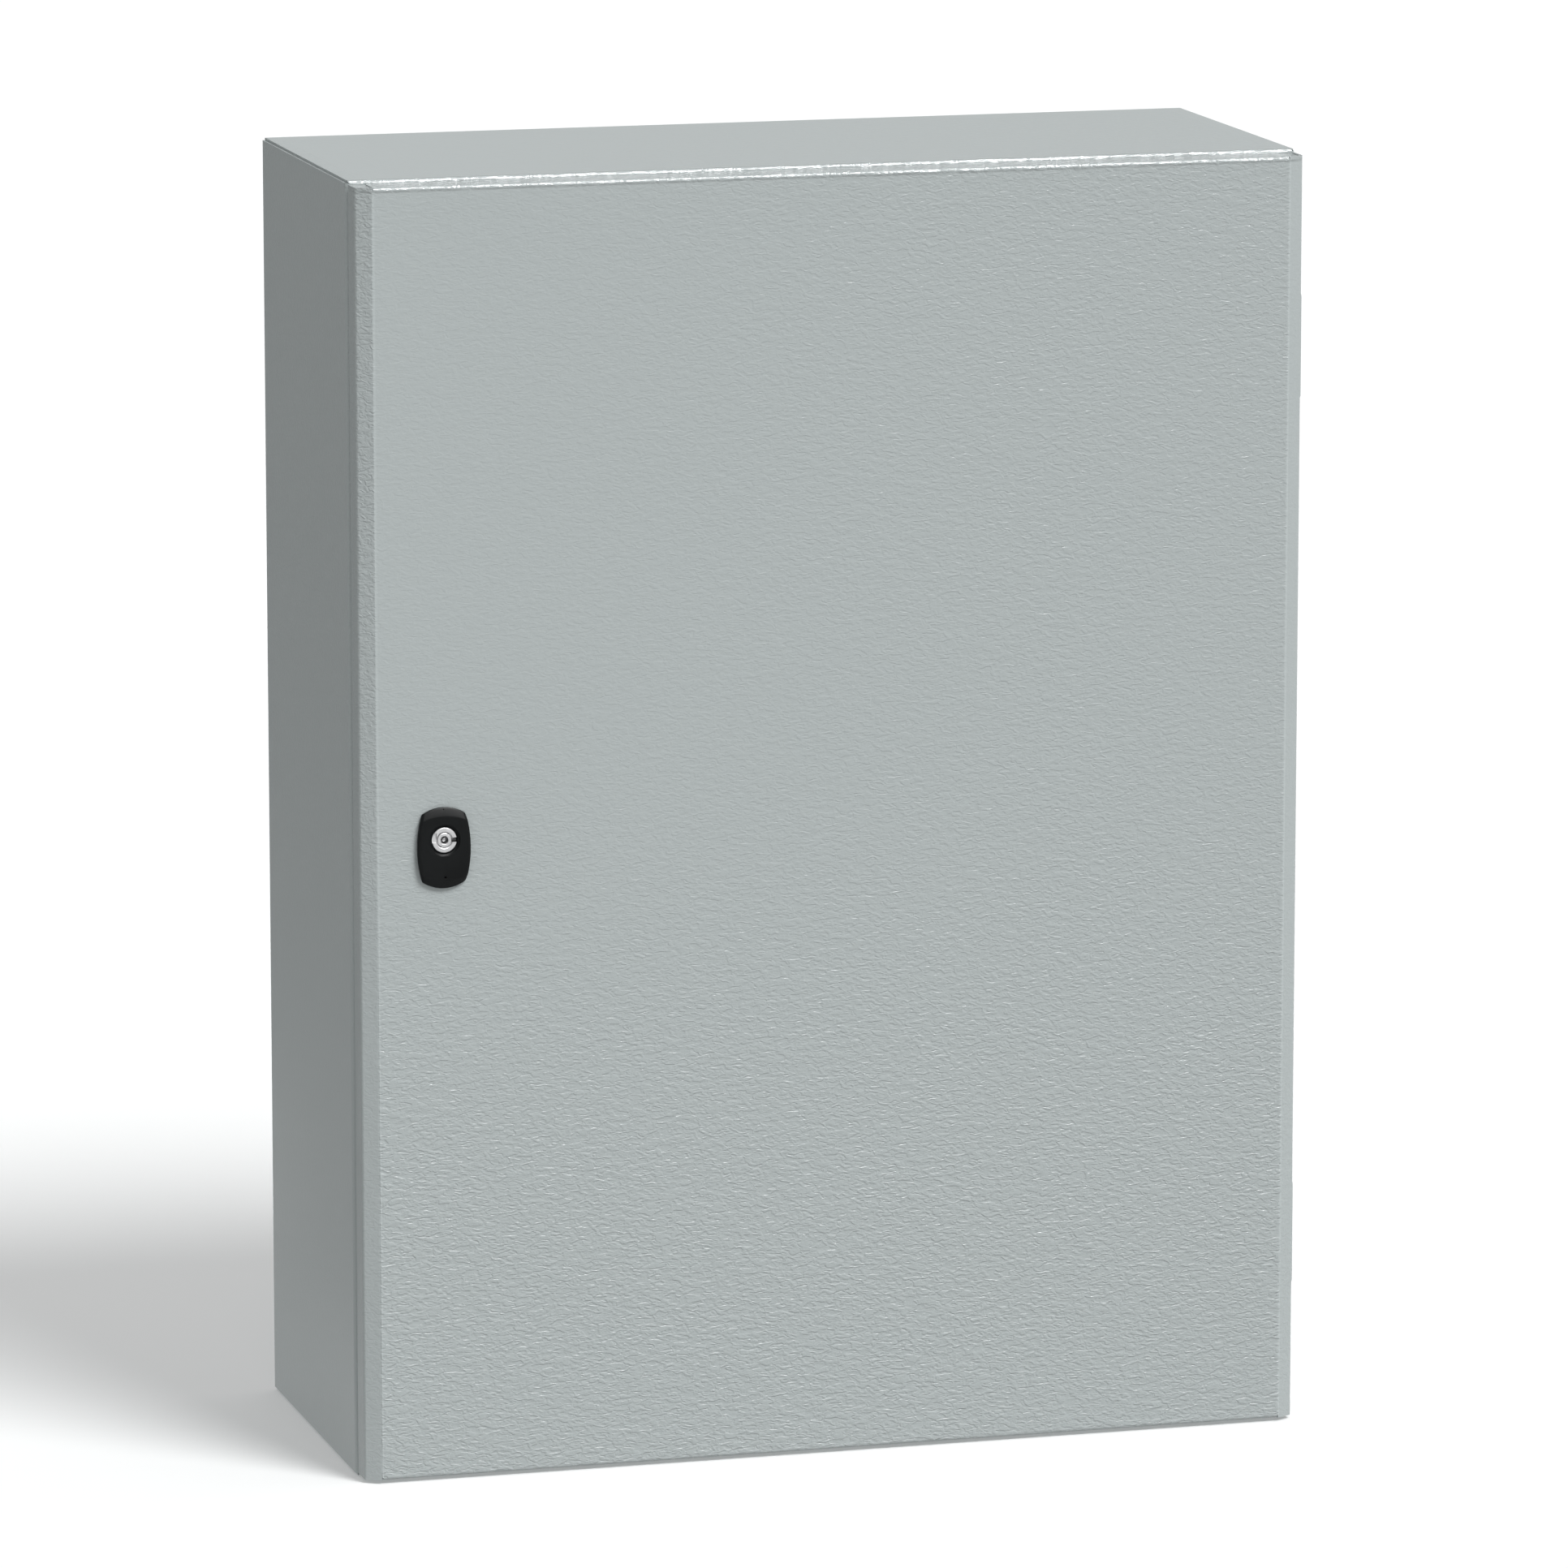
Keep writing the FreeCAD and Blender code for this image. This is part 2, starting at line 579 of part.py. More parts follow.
def make_door_rail(name, side):
    """Channel spot-welded inside the door, its back perforated at an even pitch."""
    x = side * RAIL_X
    half = S["rail_width"] / 2
    wall = S["door_wall"]
    low, high = S["rail_end"], TOP - S["rail_end"]
    body = make_body(name)
    pad(body, "Z", (low, high),
        [(x - half, INNER), (x - half, RAIL_BACK, wall), (x + half, RAIL_BACK, wall),
         (x + half, INNER), (x + half - wall, INNER), (x + half - wall, RAIL_BACK - wall),
         (x - half + wall, RAIL_BACK - wall), (x - half + wall, INNER)])
    first = LOCK_Z - S["rail_hole_pitch"] * (S["rail_hole_count"] - 1) / 2
    hole = pocket(body, "Y", (RAIL_BACK - 2 * wall, RAIL_BACK + wall),
                  circles=[(x, first, S["rail_hole_radius"])])
    doc.recompute()
    row = body.newObject("PartDesign::LinearPattern", "Holes")
    row.Originals = [hole]
    row.Direction = (hole.Profile[0], ["V_Axis"])
    bind(row, "Length", S["rail_hole_pitch"] * (S["rail_hole_count"] - 1))
    bind(row, "Occurrences", S["rail_hole_count"])
    body.Tip = row
    keep(name, body)


# ---- hinges --------------------------------------------------------------------------------

def hinge_levels():
    return {"lower": S["hinge_from_end"], "upper": TOP - S["hinge_from_end"]}


def make_hinge(name, z):
    """Bracket on the enclosure's flange, leaf on the door, and the pin through both."""
    axis = (HINGE_X, HINGE_Y)
    bore = S["hinge_pin_radius"] + S["pin_gap"]
    foot = (z - S["foot_height"] / 2, z + S["foot_height"] / 2)
    middle = (z - S["body_knuckle"] / 2, z + S["body_knuckle"] / 2)
    foot_front = FRONT - S["foot_wall"]
    screws = [z - S["hinge_screw_pitch"] / 2, z + S["hinge_screw_pitch"] / 2]
    arm = (HINGE_X - S["arm_left"], HINGE_X - S["arm_right"])
    bracket = fuse(box((FOOT_LEFT, HINGE_X + S["foot_right"]), (foot_front, FRONT), foot),
                   box(arm, (HINGE_Y, foot_front), middle),
                   cylinder("Z", axis, middle, S["knuckle_radius"]))
    holes = [cylinder("Y", (BRACKET_SCREW_X, level), (foot_front, FRONT), S["hinge_screw_radius"])
             for level in screws]
    keep(f"hinge_bracket_{name}", cut(bracket, cylinder("Z", axis, middle, bore), *holes))

    gap = S["body_knuckle"] / 2 + S["knuckle_gap"]
    reach = gap + S["leaf_knuckle"]
    leaf_back = INNER + S["leaf_wall"]
    gasket_edge = OPEN_RIGHT + (WALL + S["gasket_width"]) / 2
    leaf_x = (gasket_edge + S["leaf_to_gasket"], HINGE_X - S["leaf_right"])
    stud_x = (leaf_x[0] + leaf_x[1]) / 2
    stud_level = reach + S["leaf_nut_clearance"] + S["leaf_nut_radius"]
    studs = [z - stud_level, z + stud_level]
    half = stud_level + S["leaf_end"]
    pieces = [box(leaf_x, (INNER, leaf_back), (z - half, z + half))]
    bores = [cylinder("Y", (stud_x, level), (INNER, leaf_back), S["leaf_stud_radius"])
             for level in studs]
    for span in ((z - reach, z - gap), (z + gap, z + reach)):
        pieces.append(box((HINGE_X - S["ear_left"], leaf_x[1]), (INNER, HINGE_Y), span))
        pieces.append(cylinder("Z", axis, span, S["knuckle_radius"]))
        bores.append(cylinder("Z", axis, span, bore))
    keep(f"hinge_leaf_{name}", cut(fuse(*pieces), *bores))

    head = z + reach + S["knuckle_gap"]
    pin = fuse(cylinder("Z", axis, (z - reach - 3 * S["ring_height"], head), S["hinge_pin_radius"]),
               cylinder("Z", axis, (head, head + S["pin_head_height"]), S["pin_head_radius"]))
    keep(f"hinge_pin_{name}", pin)
    ring_top = z - reach - S["knuckle_gap"]
    ring = tube("Z", axis, (ring_top - S["ring_height"], ring_top), S["pin_head_radius"],
                S["hinge_pin_radius"])
    return (ring, hinge_screws(BRACKET_SCREW_X, screws), hinge_studs(stud_x, studs),
            hinge_nuts(stud_x, studs))


def hinge_screws(x, levels):
    """Screws put in from inside the enclosure, through the flange into the bracket."""
    radius = S["hinge_screw_radius"]
    seat = FRONT + WALL
    head = (seat, seat + S["hinge_screw_head"])
    return [fuse(cylinder("Y", (x, level), (FRONT - S["foot_wall"], seat), radius),
                 hexagon("Y", (x, level), head, S["hinge_screw_head_radius"]))
            for level in levels]


def hinge_studs(x, levels):
    end = INNER + S["leaf_wall"] + S["leaf_nut_height"] + S["leaf_stud_spare"]
    return [cylinder("Y", (x, level), (INNER, end), S["leaf_stud_radius"]) for level in levels]


def hinge_nuts(x, levels):
    seat = INNER + S["leaf_wall"]
    return [nut("Y", (x, level), (seat, seat + S["leaf_nut_height"]), S["leaf_nut_radius"],
                S["leaf_stud_radius"]) for level in levels]


def make_hinges():
    kits = [make_hinge(name, z) for name, z in hinge_levels().items()]
    keep("hinge_pin_rings", group(kit[0] for kit in kits))
    for place_in_kit, name in ((1, "hinge_bracket_screws"), (2, "hinge_leaf_studs"),
                               (3, "hinge_leaf_nuts")):
        keep(name, group(item for kit in kits for item in kit[place_in_kit]))


# ---- lock ----------------------------------------------------------------------------------

def bulge_radius(half_chord, rise):
    value = (half_chord.value ** 2 + rise.value ** 2) / (2 * rise.value)
    return Size(f"(({half_chord.text}^2 + {rise.text}^2) / (2 * {rise.text}))", value)


def draw_barrel(sketch, x, z):
    """Four outward-bowed arcs between the escutcheon's corners, about the point (x, z)."""
    cx, cz = S["escutcheon_corner_x"], S["escutcheon_corner_z"]
    side = bulge_radius(cz, S["escutcheon_width"] / 2 - cx)
    end = bulge_radius(cx, S["escutcheon_height"] / 2 - cz)
    corners = [(x + cx, z - cz), (x + cx, z + cz), (x - cx, z + cz), (x - cx, z - cz)]
    tips = [(x + S["escutcheon_width"] / 2, z), (x, z + S["escutcheon_height"] / 2),
            (x - S["escutcheon_width"] / 2, z), (x, z - S["escutcheon_height"] / 2)]
    for index in range(4):
        spots = (corners[index], tips[index], corners[(index + 1) % 4])
        sketch.addGeometry(Part.Arc(*[VECTOR(a.value, b.value, 0) for a, b in spots]))
    for index in range(4):
        sketch.addConstraint(Sketcher.Constraint("Coincident", index - 1 if index else 3, 2, index, 1))
        fix_point(sketch, index, 1, x=corners[index][0], y=corners[index][1])
        constrain(sketch, "Radius", index, size=side if index % 2 == 0 else end)


def make_escutcheon():
    front, back = FACE - LOCK_RISE, FACE - S["seal_wall"]
    spot = (LOCK_X, LOCK_Z)
    body = make_body("lock_escutcheon")
    sketch = make_sketch(body, "Y", back)
    draw_barrel(sketch, LOCK_X, LOCK_Z - S["escutcheon_drop"])
    feature = body.newObject("PartDesign::Pad", "Pad")
    feature.Profile = sketch
    bind(feature, "Length", back - front)
    round_front_edges(body, front, S["escutcheon_round"])
    pocket(body, "Y", (front, front + S["insert_recess"]),
           circles=[spot + (S["insert_recess_radius"],)])
    pocket(body, "Y", (front, back), circles=[spot + (S["insert_radius"] + S["insert_gap"],)])
    keep("lock_escutcheon", body)


def make_lock_fixings():
    spot = (LOCK_X, LOCK_Z)
    outer = S["housing_radius"]
    end = FRONT + WALL + S["cam_behind_flange"] / 2
    keep("lock_seal", tube("Y", spot, (FACE - S["seal_wall"], FACE), S["seal_radius"], outer))
    keep("lock_housing", tube("Y", spot, (FACE - S["seal_wall"], end), outer,
                              S["insert_radius"] + S["insert_gap"]))
    keep("lock_nut", nut("Y", spot, (INNER, INNER + S["lock_nut_height"]), S["lock_nut_radius"], outer))


def cam_span():
    start = FRONT + WALL + S["cam_behind_flange"]
    return start, start + S["cam_wall"]


def make_insert():
    """Turning insert: key hole with its centre pin, a notch for the key's bit, a square tail."""
    front = FACE - LOCK_RISE + S["insert_sink"]
    start, end = cam_span()
    half = S["square_drive"] / 2
    body = make_body("lock_insert")
    pad(body, "Y", (front, start), circles=[(LOCK_X, LOCK_Z, S["insert_radius"])])
    pad(body, "Y", (start, end), rectangle((LOCK_X - half, LOCK_X + half), (LOCK_Z - half, LOCK_Z + half)))
    ring = S["key_ring_radius"]
    pocket(body, "Y", (front, front + S["key_ring_wall"]),
           circles=[(LOCK_X, LOCK_Z, ring), (LOCK_X, LOCK_Z, ring + S["key_ring_wall"])])
    pocket(body, "Y", (front, front + S["key_hole"]),
           circles=[(LOCK_X, LOCK_Z, S["key_hole_radius"]), (LOCK_X, LOCK_Z, S["key_pin_radius"])])
    half = S["key_notch_width"] / 2
    pocket(body, "Y", (front, front + S["key_notch"]),
           rectangle((LOCK_X + ring, LOCK_X + 2 * ring), (LOCK_Z - half, LOCK_Z + half)))
    keep("lock_insert", body)


def pin_offset():
    """The cam's pins start and end an eighth of a turn either side of level."""
    return Size(f"({S['cam_throw'].text} * sqrt(0.5))", S["cam_throw"].value * math.sqrt(0.5))


def make_cam():
    span = cam_span()
    half = S["square_drive"] / 2
    width = S["tongue_width"] / 2
    body = make_body("lock_cam")
    pad(body, "Y", span, circles=[(LOCK_X, LOCK_Z, S["cam_radius"])])
    pad(body, "Y", span, rectangle((LOCK_X - width, LOCK_X + width),
                                   (LOCK_Z - S["tongue_length"], LOCK_Z)))
    pocket(body, "Y", span, rectangle((LOCK_X - half, LOCK_X + half), (LOCK_Z - half, LOCK_Z + half)))
    keep("lock_cam", body)
    rod_back = span[1] + S["rod_gap"] + S["rod_wall"]
    offset = pin_offset()
    spots = [(LOCK_X + offset, LOCK_Z + offset), (LOCK_X - offset, LOCK_Z - offset)]
    keep("cam_pins", group(cylinder("Y", spot, (span[1], rod_back + S["rod_gap"]), S["cam_pin_radius"])
                           for spot in spots))
    keep("cam_screw", cylinder("Y", (LOCK_X, LOCK_Z), (span[1], rod_back), S["cam_screw_head"]))


# ---- locking rods --------------------------------------------------------------------------

def rod_span():
    start = cam_span()[1] + S["rod_gap"]
    return start, start + S["rod_wall"]


def rod_tips():
    """Drawn in, the shoes end just inside the opening, so that the door swings freely."""
    cap = S["shoe_length"] - S["shoe_depth"]
    return {"upper": OPEN_HIGH - S["rod_tip_gap"] - cap, "lower": OPEN_LOW + S["rod_tip_gap"] + cap}


def make_rod(name, way):
    """Flat rod with a yoke beside the cam: way is 1 for the rod that goes up, -1 for down."""
    inner, outer = S["yoke_inner"], S["yoke_outer"]
    half = S["rod_width"] / 2
    reach, split = S["yoke_reach"], S["yoke_split"]
    tip = rod_tips()[name]
    shoulder = split + S["yoke_slope"]
    corners = [(-inner, -reach), (-outer, -reach), (-outer, split), (-half, shoulder)]
    corners = [(LOCK_X + way * x, LOCK_Z + way * z) for x, z in corners]
    corners += [(LOCK_X - way * half, tip), (LOCK_X + way * half, tip),
                (LOCK_X + way * half, LOCK_Z + way * split), (LOCK_X - way * inner, LOCK_Z + way * split)]
    body = make_body(f"{name}_rod")
    pad(body, "Y", rod_span(), corners)
    offset = pin_offset()
    pin = S["cam_pin_radius"]
    near = offset - pin - S["rod_slot_end"]
    far = S["cam_throw"] + pin + S["rod_slot_end"]
    slot_half = pin + S["rod_slot_gap"]
    level = LOCK_Z - way * offset
    ends = (LOCK_X - way * near, LOCK_X - way * far)
    pocket(body, "Y", rod_span(), rectangle(ends, (level - slot_half, level + slot_half)))
    keep(f"{name}_rod", body)
    make_shoe(name, way, tip)


def make_shoe(name, way, tip):
    """Plastic end of a rod, tapered at the front so that it draws the door shut."""
    front = cam_span()[0]
    back = rod_span()[1] + S["shoe_back"]
    half = S["shoe_width"] / 2
    start = tip - way * S["shoe_depth"]
    end = start + way * S["shoe_length"]
    ramp = end - way * S["shoe_ramp"]
    body = make_body(f"{name}_rod_shoe")
    pad(body, "X", (LOCK_X - half, LOCK_X + half),
        [(back, start), (back, end), (front + S["shoe_taper"], end), (front, ramp), (front, start)])
    low, high = (start, tip) if way > 0 else (tip, start)
    pocket(body, "Z", (low, high),
           rectangle((LOCK_X - S["rod_width"] / 2, LOCK_X + S["rod_width"] / 2), rod_span()))
    keep(f"{name}_rod_shoe", body)


def make_guide(name, z):
    """Block on the door that a rod slides through, its ear screwed to the perforated rail."""
    half = S["guide_width"] / 2
    span = (z - S["guide_height"] / 2, z + S["guide_height"] / 2)
    gap = S["guide_gap"]
    front, back = rod_span()
    back_face = back + gap + S["guide_wall"]
    ear_back = RAIL_BACK + S["guide_wall"]
    slot = S["rod_width"] / 2 + gap
    body = make_body(name)
    pad(body, "Z", span,
        [(LOCK_X - half, INNER), (LOCK_X + half, INNER), (LOCK_X + half, RAIL_BACK),
         (-RAIL_X + half, RAIL_BACK), (-RAIL_X + half, ear_back), (LOCK_X + half, ear_back),
         (LOCK_X + half, back_face), (LOCK_X - half, back_face)])
    pocket(body, "Z", span, rectangle((LOCK_X - slot, LOCK_X + slot), (front - gap, back + gap)))
    pocket(body, "Y", (RAIL_BACK, ear_back), circles=[(-RAIL_X, z, S["guide_screw_radius"])])
    keep(name, body)
    radius = S["guide_screw_radius"]
    return fuse(cylinder("Y", (-RAIL_X, z), (RAIL_BACK - S["guide_screw_reach"], ear_back), radius),
                cylinder("Y", (-RAIL_X, z), (ear_back, ear_back + S["guide_screw_head"]),
                         S["guide_screw_head_radius"]))


def make_rods():
    make_rod("upper", 1)
    make_rod("lower", -1)
    screws = []
    for name, way in (("upper", 1), ("lower", -1)):
        for place_name, distance in (("inner", S["guide_near"]), ("outer", S["guide_far"])):
            screws.append(make_guide(f"rod_guide_{name}_{place_name}", LOCK_Z + way * distance))
    keep("rod_guide_screws", group(screws))


# ---- build, test, write --------------------------------------------------------------------

def make_cabinet():
    make_side_panel("side_panel_left", S["lock_flange"], left=True)
    make_side_panel("side_panel_right", S["hinge_flange"], left=False)
    make_end_panel("top_panel", top=True)
    make_end_panel("bottom_panel", top=False)
    make_back_panel()
    make_gland_plate()
    make_mounting_plate()
    make_earthing()
    make_door_panel()
    make_door_gasket()
    make_door_rail("door_rail_right", 1)
    make_door_rail("door_rail_left", -1)
    make_hinges()
    make_escutcheon()
    make_lock_fixings()
    make_insert()
    make_cam()
    make_rods()


def test_document():
    doc.recompute()
    for item in doc.Objects:
        if "Invalid" in item.State or "Error" in item.State:
            raise RuntimeError(f"{item.Label} failed: {item.State}")
    for feature in CUTS:
        if feature.Shape.Volume > feature.BaseFeature.Shape.Volume - 1e-3:
            raise RuntimeError(f"{feature.Name} cuts nothing")
    for name, item in NODES.items():
        if item.Shape.isNull() or not item.Shape.isValid() or not item.Shape.Solids:
            raise RuntimeError(f"{name} has no valid shape")


def write_steps():
    os.makedirs("parts", exist_ok=True)
    for name, item in NODES.items():
        item.Shape.exportStep(f"parts/{name}.step")
        print(f"{name}: {len(item.Shape.Solids)} solid(s), {item.Shape.Volume / 1000:.2f} cm3")


make_cabinet()
test_document()
write_steps()
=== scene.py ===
"""Looks of a wall-mounting switchboard cabinet: painted sheet steel, lock, hinges, rods and seals,
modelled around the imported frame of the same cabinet. Metres, +Z up, the door faces -Y.
"""
import json
import math

import bmesh
import bpy
from mathutils import Matrix, Vector


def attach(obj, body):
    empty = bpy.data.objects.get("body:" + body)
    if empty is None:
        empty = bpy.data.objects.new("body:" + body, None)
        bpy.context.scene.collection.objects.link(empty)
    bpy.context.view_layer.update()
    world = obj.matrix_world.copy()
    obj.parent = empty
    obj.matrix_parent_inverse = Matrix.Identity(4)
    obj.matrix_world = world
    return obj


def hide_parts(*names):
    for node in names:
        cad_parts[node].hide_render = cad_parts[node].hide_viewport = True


bl_info = {
    "name": "Switchboard cabinet",
    "version": (1, 0, 0),
    "blender": (4, 5, 0),
    "location": "3D View > Sidebar > Cabinet",
    "description": "Builds the looks of a sheet-steel switchboard cabinet around its frame",
    "category": "Object",
}

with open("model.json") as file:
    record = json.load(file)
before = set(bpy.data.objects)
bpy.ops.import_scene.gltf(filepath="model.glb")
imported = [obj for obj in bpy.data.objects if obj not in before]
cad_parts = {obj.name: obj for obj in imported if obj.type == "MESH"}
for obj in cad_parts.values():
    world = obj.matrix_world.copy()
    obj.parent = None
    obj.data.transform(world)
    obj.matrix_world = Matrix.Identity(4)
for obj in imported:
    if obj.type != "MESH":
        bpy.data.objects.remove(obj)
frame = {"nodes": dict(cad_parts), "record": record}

# planes and places of the cabinet, in metres
WALL = 0.0015
SIDE, TOP = 0.3, 0.8
FRONT, BACK = -0.09875, 0.12725
MIDDLE = (FRONT + BACK) / 2
FACE, RIM_FRONT, DOOR_BACK = FRONT - 0.024, FRONT - 0.012, FRONT - 0.0022
INNER = FACE + WALL
DOOR_SIDE, FLAT_SIDE = 0.29875, 0.28875
DOOR_LOW, DOOR_HIGH = 0.002, 0.798
OPEN_LEFT, OPEN_RIGHT, OPEN_LOW, OPEN_HIGH = -0.274, 0.266, 0.028, 0.772
HINGE_X, HINGE_LEVELS = 0.292, (0.12, 0.68)
LOCK_X, LOCK_Z = LOCK = -0.248, 0.4
LOCK_HOLE, LOCK_THREAD, LOCK_RISE, LOCK_SEAL = 0.01125, 0.011, 0.0045, 0.0005
PIN_THROW = 0.0155
RAIL_X, RAIL_HEIGHT = 0.218, 0.012
GLAND_X, GLAND_Y, GLAND_LAP, GLAND_SEAL = 0.23, 0.06, 0.016, 0.0025
PLATE_DEPTH, PLATE_STAND = 0.0025, 0.018
EARTH_LEVEL = 0.06

# fasteners: thread radius, then the corner radius and the height of the nut
M8, M8_NUT, M8_NUT_HEIGHT, M8_PITCH = 0.004, 0.0075, 0.0065, 0.00125
M8_WASHER, M8_WASHER_DEPTH = 0.008, 0.0016
M6, M6_NUT, M6_NUT_HEIGHT = 0.003, 0.00577, 0.005
M5, M5_NUT, M5_NUT_HEIGHT = 0.0025, 0.00462, 0.004
SCREW_DEPTH = 0.0065

SNAP = 0.00001      # how near a point counts as on a plane


# ---- sizes and colours that a user may change ----

def length(title, words, default):
    return bpy.props.FloatProperty(name=title, description=words, default=default, min=0.0,
                                   unit="LENGTH", precision=5)


def colour(title, words, default):
    return bpy.props.FloatVectorProperty(name=title, description=words, default=default,
                                         subtype="COLOR", min=0.0, max=1.0)


class CabinetSizes(bpy.types.PropertyGroup):
    wall: length("Sheet", "Thickness of the enclosure's and the door's sheet steel", WALL)
    body_bend: length("Body bend", "Outer radius of the enclosure's front bends", 0.003)
    rim_bend: length("Rim bend", "Radius inside the fold of the sealing rim", 0.0008)
    door_bend: length("Door bend", "Outer radius of the door's top and bottom bends", 0.002)
    ridge_bend: length("Ridge bend", "Outer radius of the folds beside the door's face", 0.0022)
    paint_edge: length("Paint edge", "How far the coat rounds a cut edge", 0.0003)
    wrinkle: length("Wrinkle", "Height of the texture in the powder coat", 0.00042)


class CabinetColours(bpy.types.PropertyGroup):
    paint: colour("Paint", "Light grey powder coat", (0.455, 0.497, 0.497))
    black: colour("Black", "Lock plate", (0.0045, 0.0053, 0.0056))
    nylon: colour("Nylon", "Rod guides and rod shoes", (0.018, 0.018, 0.019))
    foam: colour("Foam", "Foamed door seal", (0.035, 0.035, 0.037))
    floor: colour("Floor", "Stage floor", (0.86, 0.87, 0.87))


def sizes():
    return bpy.context.scene.cabinet_sizes


def colours():
    return bpy.context.scene.cabinet_colours


# ---- materials ----

class Field:
    """A value that varies over a surface. Arithmetic on it adds Math nodes."""

    def __init__(self, finish, socket):
        self.finish = finish
        self.socket = socket

    def math(self, operation, *values):
        return self.finish.node("ShaderNodeMath", {"operation": operation}, dict(enumerate(values)))

    def __add__(self, other):
        return self.math("ADD", self, other)

    def __radd__(self, other):
        return self.math("ADD", other, self)

    def __sub__(self, other):
        return self.math("SUBTRACT", self, other)

    def __rsub__(self, other):
        return self.math("SUBTRACT", other, self)

    def __mul__(self, other):
        return self.math("MULTIPLY", self, other)

    def steps(self, low, high):
        """0 below low, 1 above high, smooth between."""
        return self.finish.node("ShaderNodeMapRange", {"interpolation_type": "SMOOTHSTEP"},
                                {"Value": self, "From Min": low, "From Max": high})


class Finish:
    """A material built round one Principled shader."""

    def __init__(self, name, **constants):
        self.material = bpy.data.materials.new(name)
        self.material.use_nodes = True
        self.tree = self.material.node_tree
        self.shader = self.tree.nodes["Principled BSDF"]
        for title, number in constants.items():
            self.set(title.replace("_", " "), number)

    def put(self, socket, value):
        if isinstance(value, Field):
            self.tree.links.new(value.socket, socket)
        elif isinstance(value, (tuple, list)) and socket.type == "RGBA":
            socket.default_value = (*value, 1.0)[:4]
        else:
            socket.default_value = value

    def node(self, kind, settings=None, sockets=None, out=0):
        """Any node: its settings first, then its sockets. Returns the output asked for."""
        node = self.tree.nodes.new(kind)
        for key, value in (settings or {}).items():
            setattr(node, key, value)
        for key, value in (sockets or {}).items():
            self.put(node.inputs[key], value)
        return Field(self, node.outputs[out])

    def set(self, title, value):
        self.put(self.shader.inputs[title], value)

    def place(self, scale=(1, 1, 1), turn=(0, 0, 0)):
        """Object coordinates, in metres, stretched and turned for a pattern."""
        spot = self.node("ShaderNodeTexCoord", out="Object")
        return self.node("ShaderNodeMapping", None,
                         {"Vector": spot, "Scale": scale, "Rotation": turn})

    def noise(self, place, scale, detail=2.0, roughness=0.5, distortion=0.0):
        return self.node("ShaderNodeTexNoise", None,
                         {"Vector": place, "Scale": scale, "Detail": detail,
                          "Roughness": roughness, "Distortion": distortion})

    def cells(self, place, scale, out="Distance"):
        return self.node("ShaderNodeTexVoronoi", None, {"Vector": place, "Scale": scale}, out)

    def mix(self, amount, first, second):
        """Blend of two colours by a field."""
        return self.node("ShaderNodeMix", {"data_type": "RGBA", "clamp_factor": True},
                         {0: amount, 6: first, 7: second}, out=2)

    def bump(self, height, distance):
        return self.node("ShaderNodeBump", None, {"Height": height, "Distance": distance})


def tint(base, factor):
    """A colour made lighter or darker."""
    return tuple(min(1.0, part * factor) for part in base)


def powder_coat(name, texture):
    """Textured light-grey powder coat: short meandering ridges, long across and low upright."""
    finish = Finish(name, Specular_IOR_Level=0.3, Coat_Weight=0.0)
    base = tuple(colours().paint)
    spot = finish.node("ShaderNodeTexCoord", out="Object")
    across, deep, up = (finish.node("ShaderNodeSeparateXYZ", None, {0: spot}, axis)
                        for axis in "XYZ")
    wave = finish.noise(finish.place((0.44, 1.0, 1.0), (0, 0.2, 0)), 410, 1.5, 0.5, 1.0)
    grain = finish.noise(finish.place((0.5, 1.0, 1.0), (0, -0.3, 0)), 720, 2.0, 0.55, 0.7)
    patch = finish.noise(finish.place(), 3.1, 1.0)
    # the coat is coarser low down and to the right
    low = 1.0 - up.steps(0.14, 0.5)
    side = across.steps(-0.28, 0.16) * 0.85 + 0.7
    # smoother on the side folds and side walls, but rough high on the left ones
    beside = across.math("ABSOLUTE", across)
    folded = beside.steps(FLAT_SIDE - 0.00025, FLAT_SIDE + 0.00045)
    rough_corner = up.steps(0.25, 0.6) * (1.0 - across.steps(-0.1, 0.1))
    calm = 1.0 - folded * 0.7 + folded * rough_corner * 2.8
    depth = (side + low * (2.7 - side)) * (0.85 + patch * 0.3) * calm * texture
    # a painted highlight: a light line where the face turns into a side fold, on the front only
    ridge = (beside.steps(FLAT_SIDE - 0.00135, FLAT_SIDE - 0.00035)
             * (1.0 - beside.steps(FLAT_SIDE + 0.00025, FLAT_SIDE + 0.00105)))
    ridge = ridge * (1.0 - deep.steps(FACE + 0.00225, FACE + 0.00325))
    # glossier and rippled along the front bends at the top
    bend = up.steps(TOP - 0.0055, TOP - 0.0035)
    bend = bend * (1.0 - deep.steps(FRONT + 0.00175, FRONT + 0.00325))
    ripple = finish.noise(finish.place((0.7, 1.0, 1.0)), 260, 3.0, 0.65, 0.8)
    relief = wave.steps(0.34, 0.66) * 0.5 + wave * 0.2 + grain * 0.35
    height = relief * depth + ripple * bend * 2.2
    finish.set("Normal", finish.bump(height, sizes().wrinkle))
    coat = finish.mix(grain.steps(0.3, 0.72), tint(base, 0.985), tint(base, 1.01))
    # the painted highlight along the side folds' ridge lightens the coat's colour here
    finish.set("Base Color", finish.mix(ridge * 0.8, coat, tint(base, 1.13)))
    finish.set("Roughness", 0.3 + grain * 0.1 - bend * 0.2)
    return finish.material


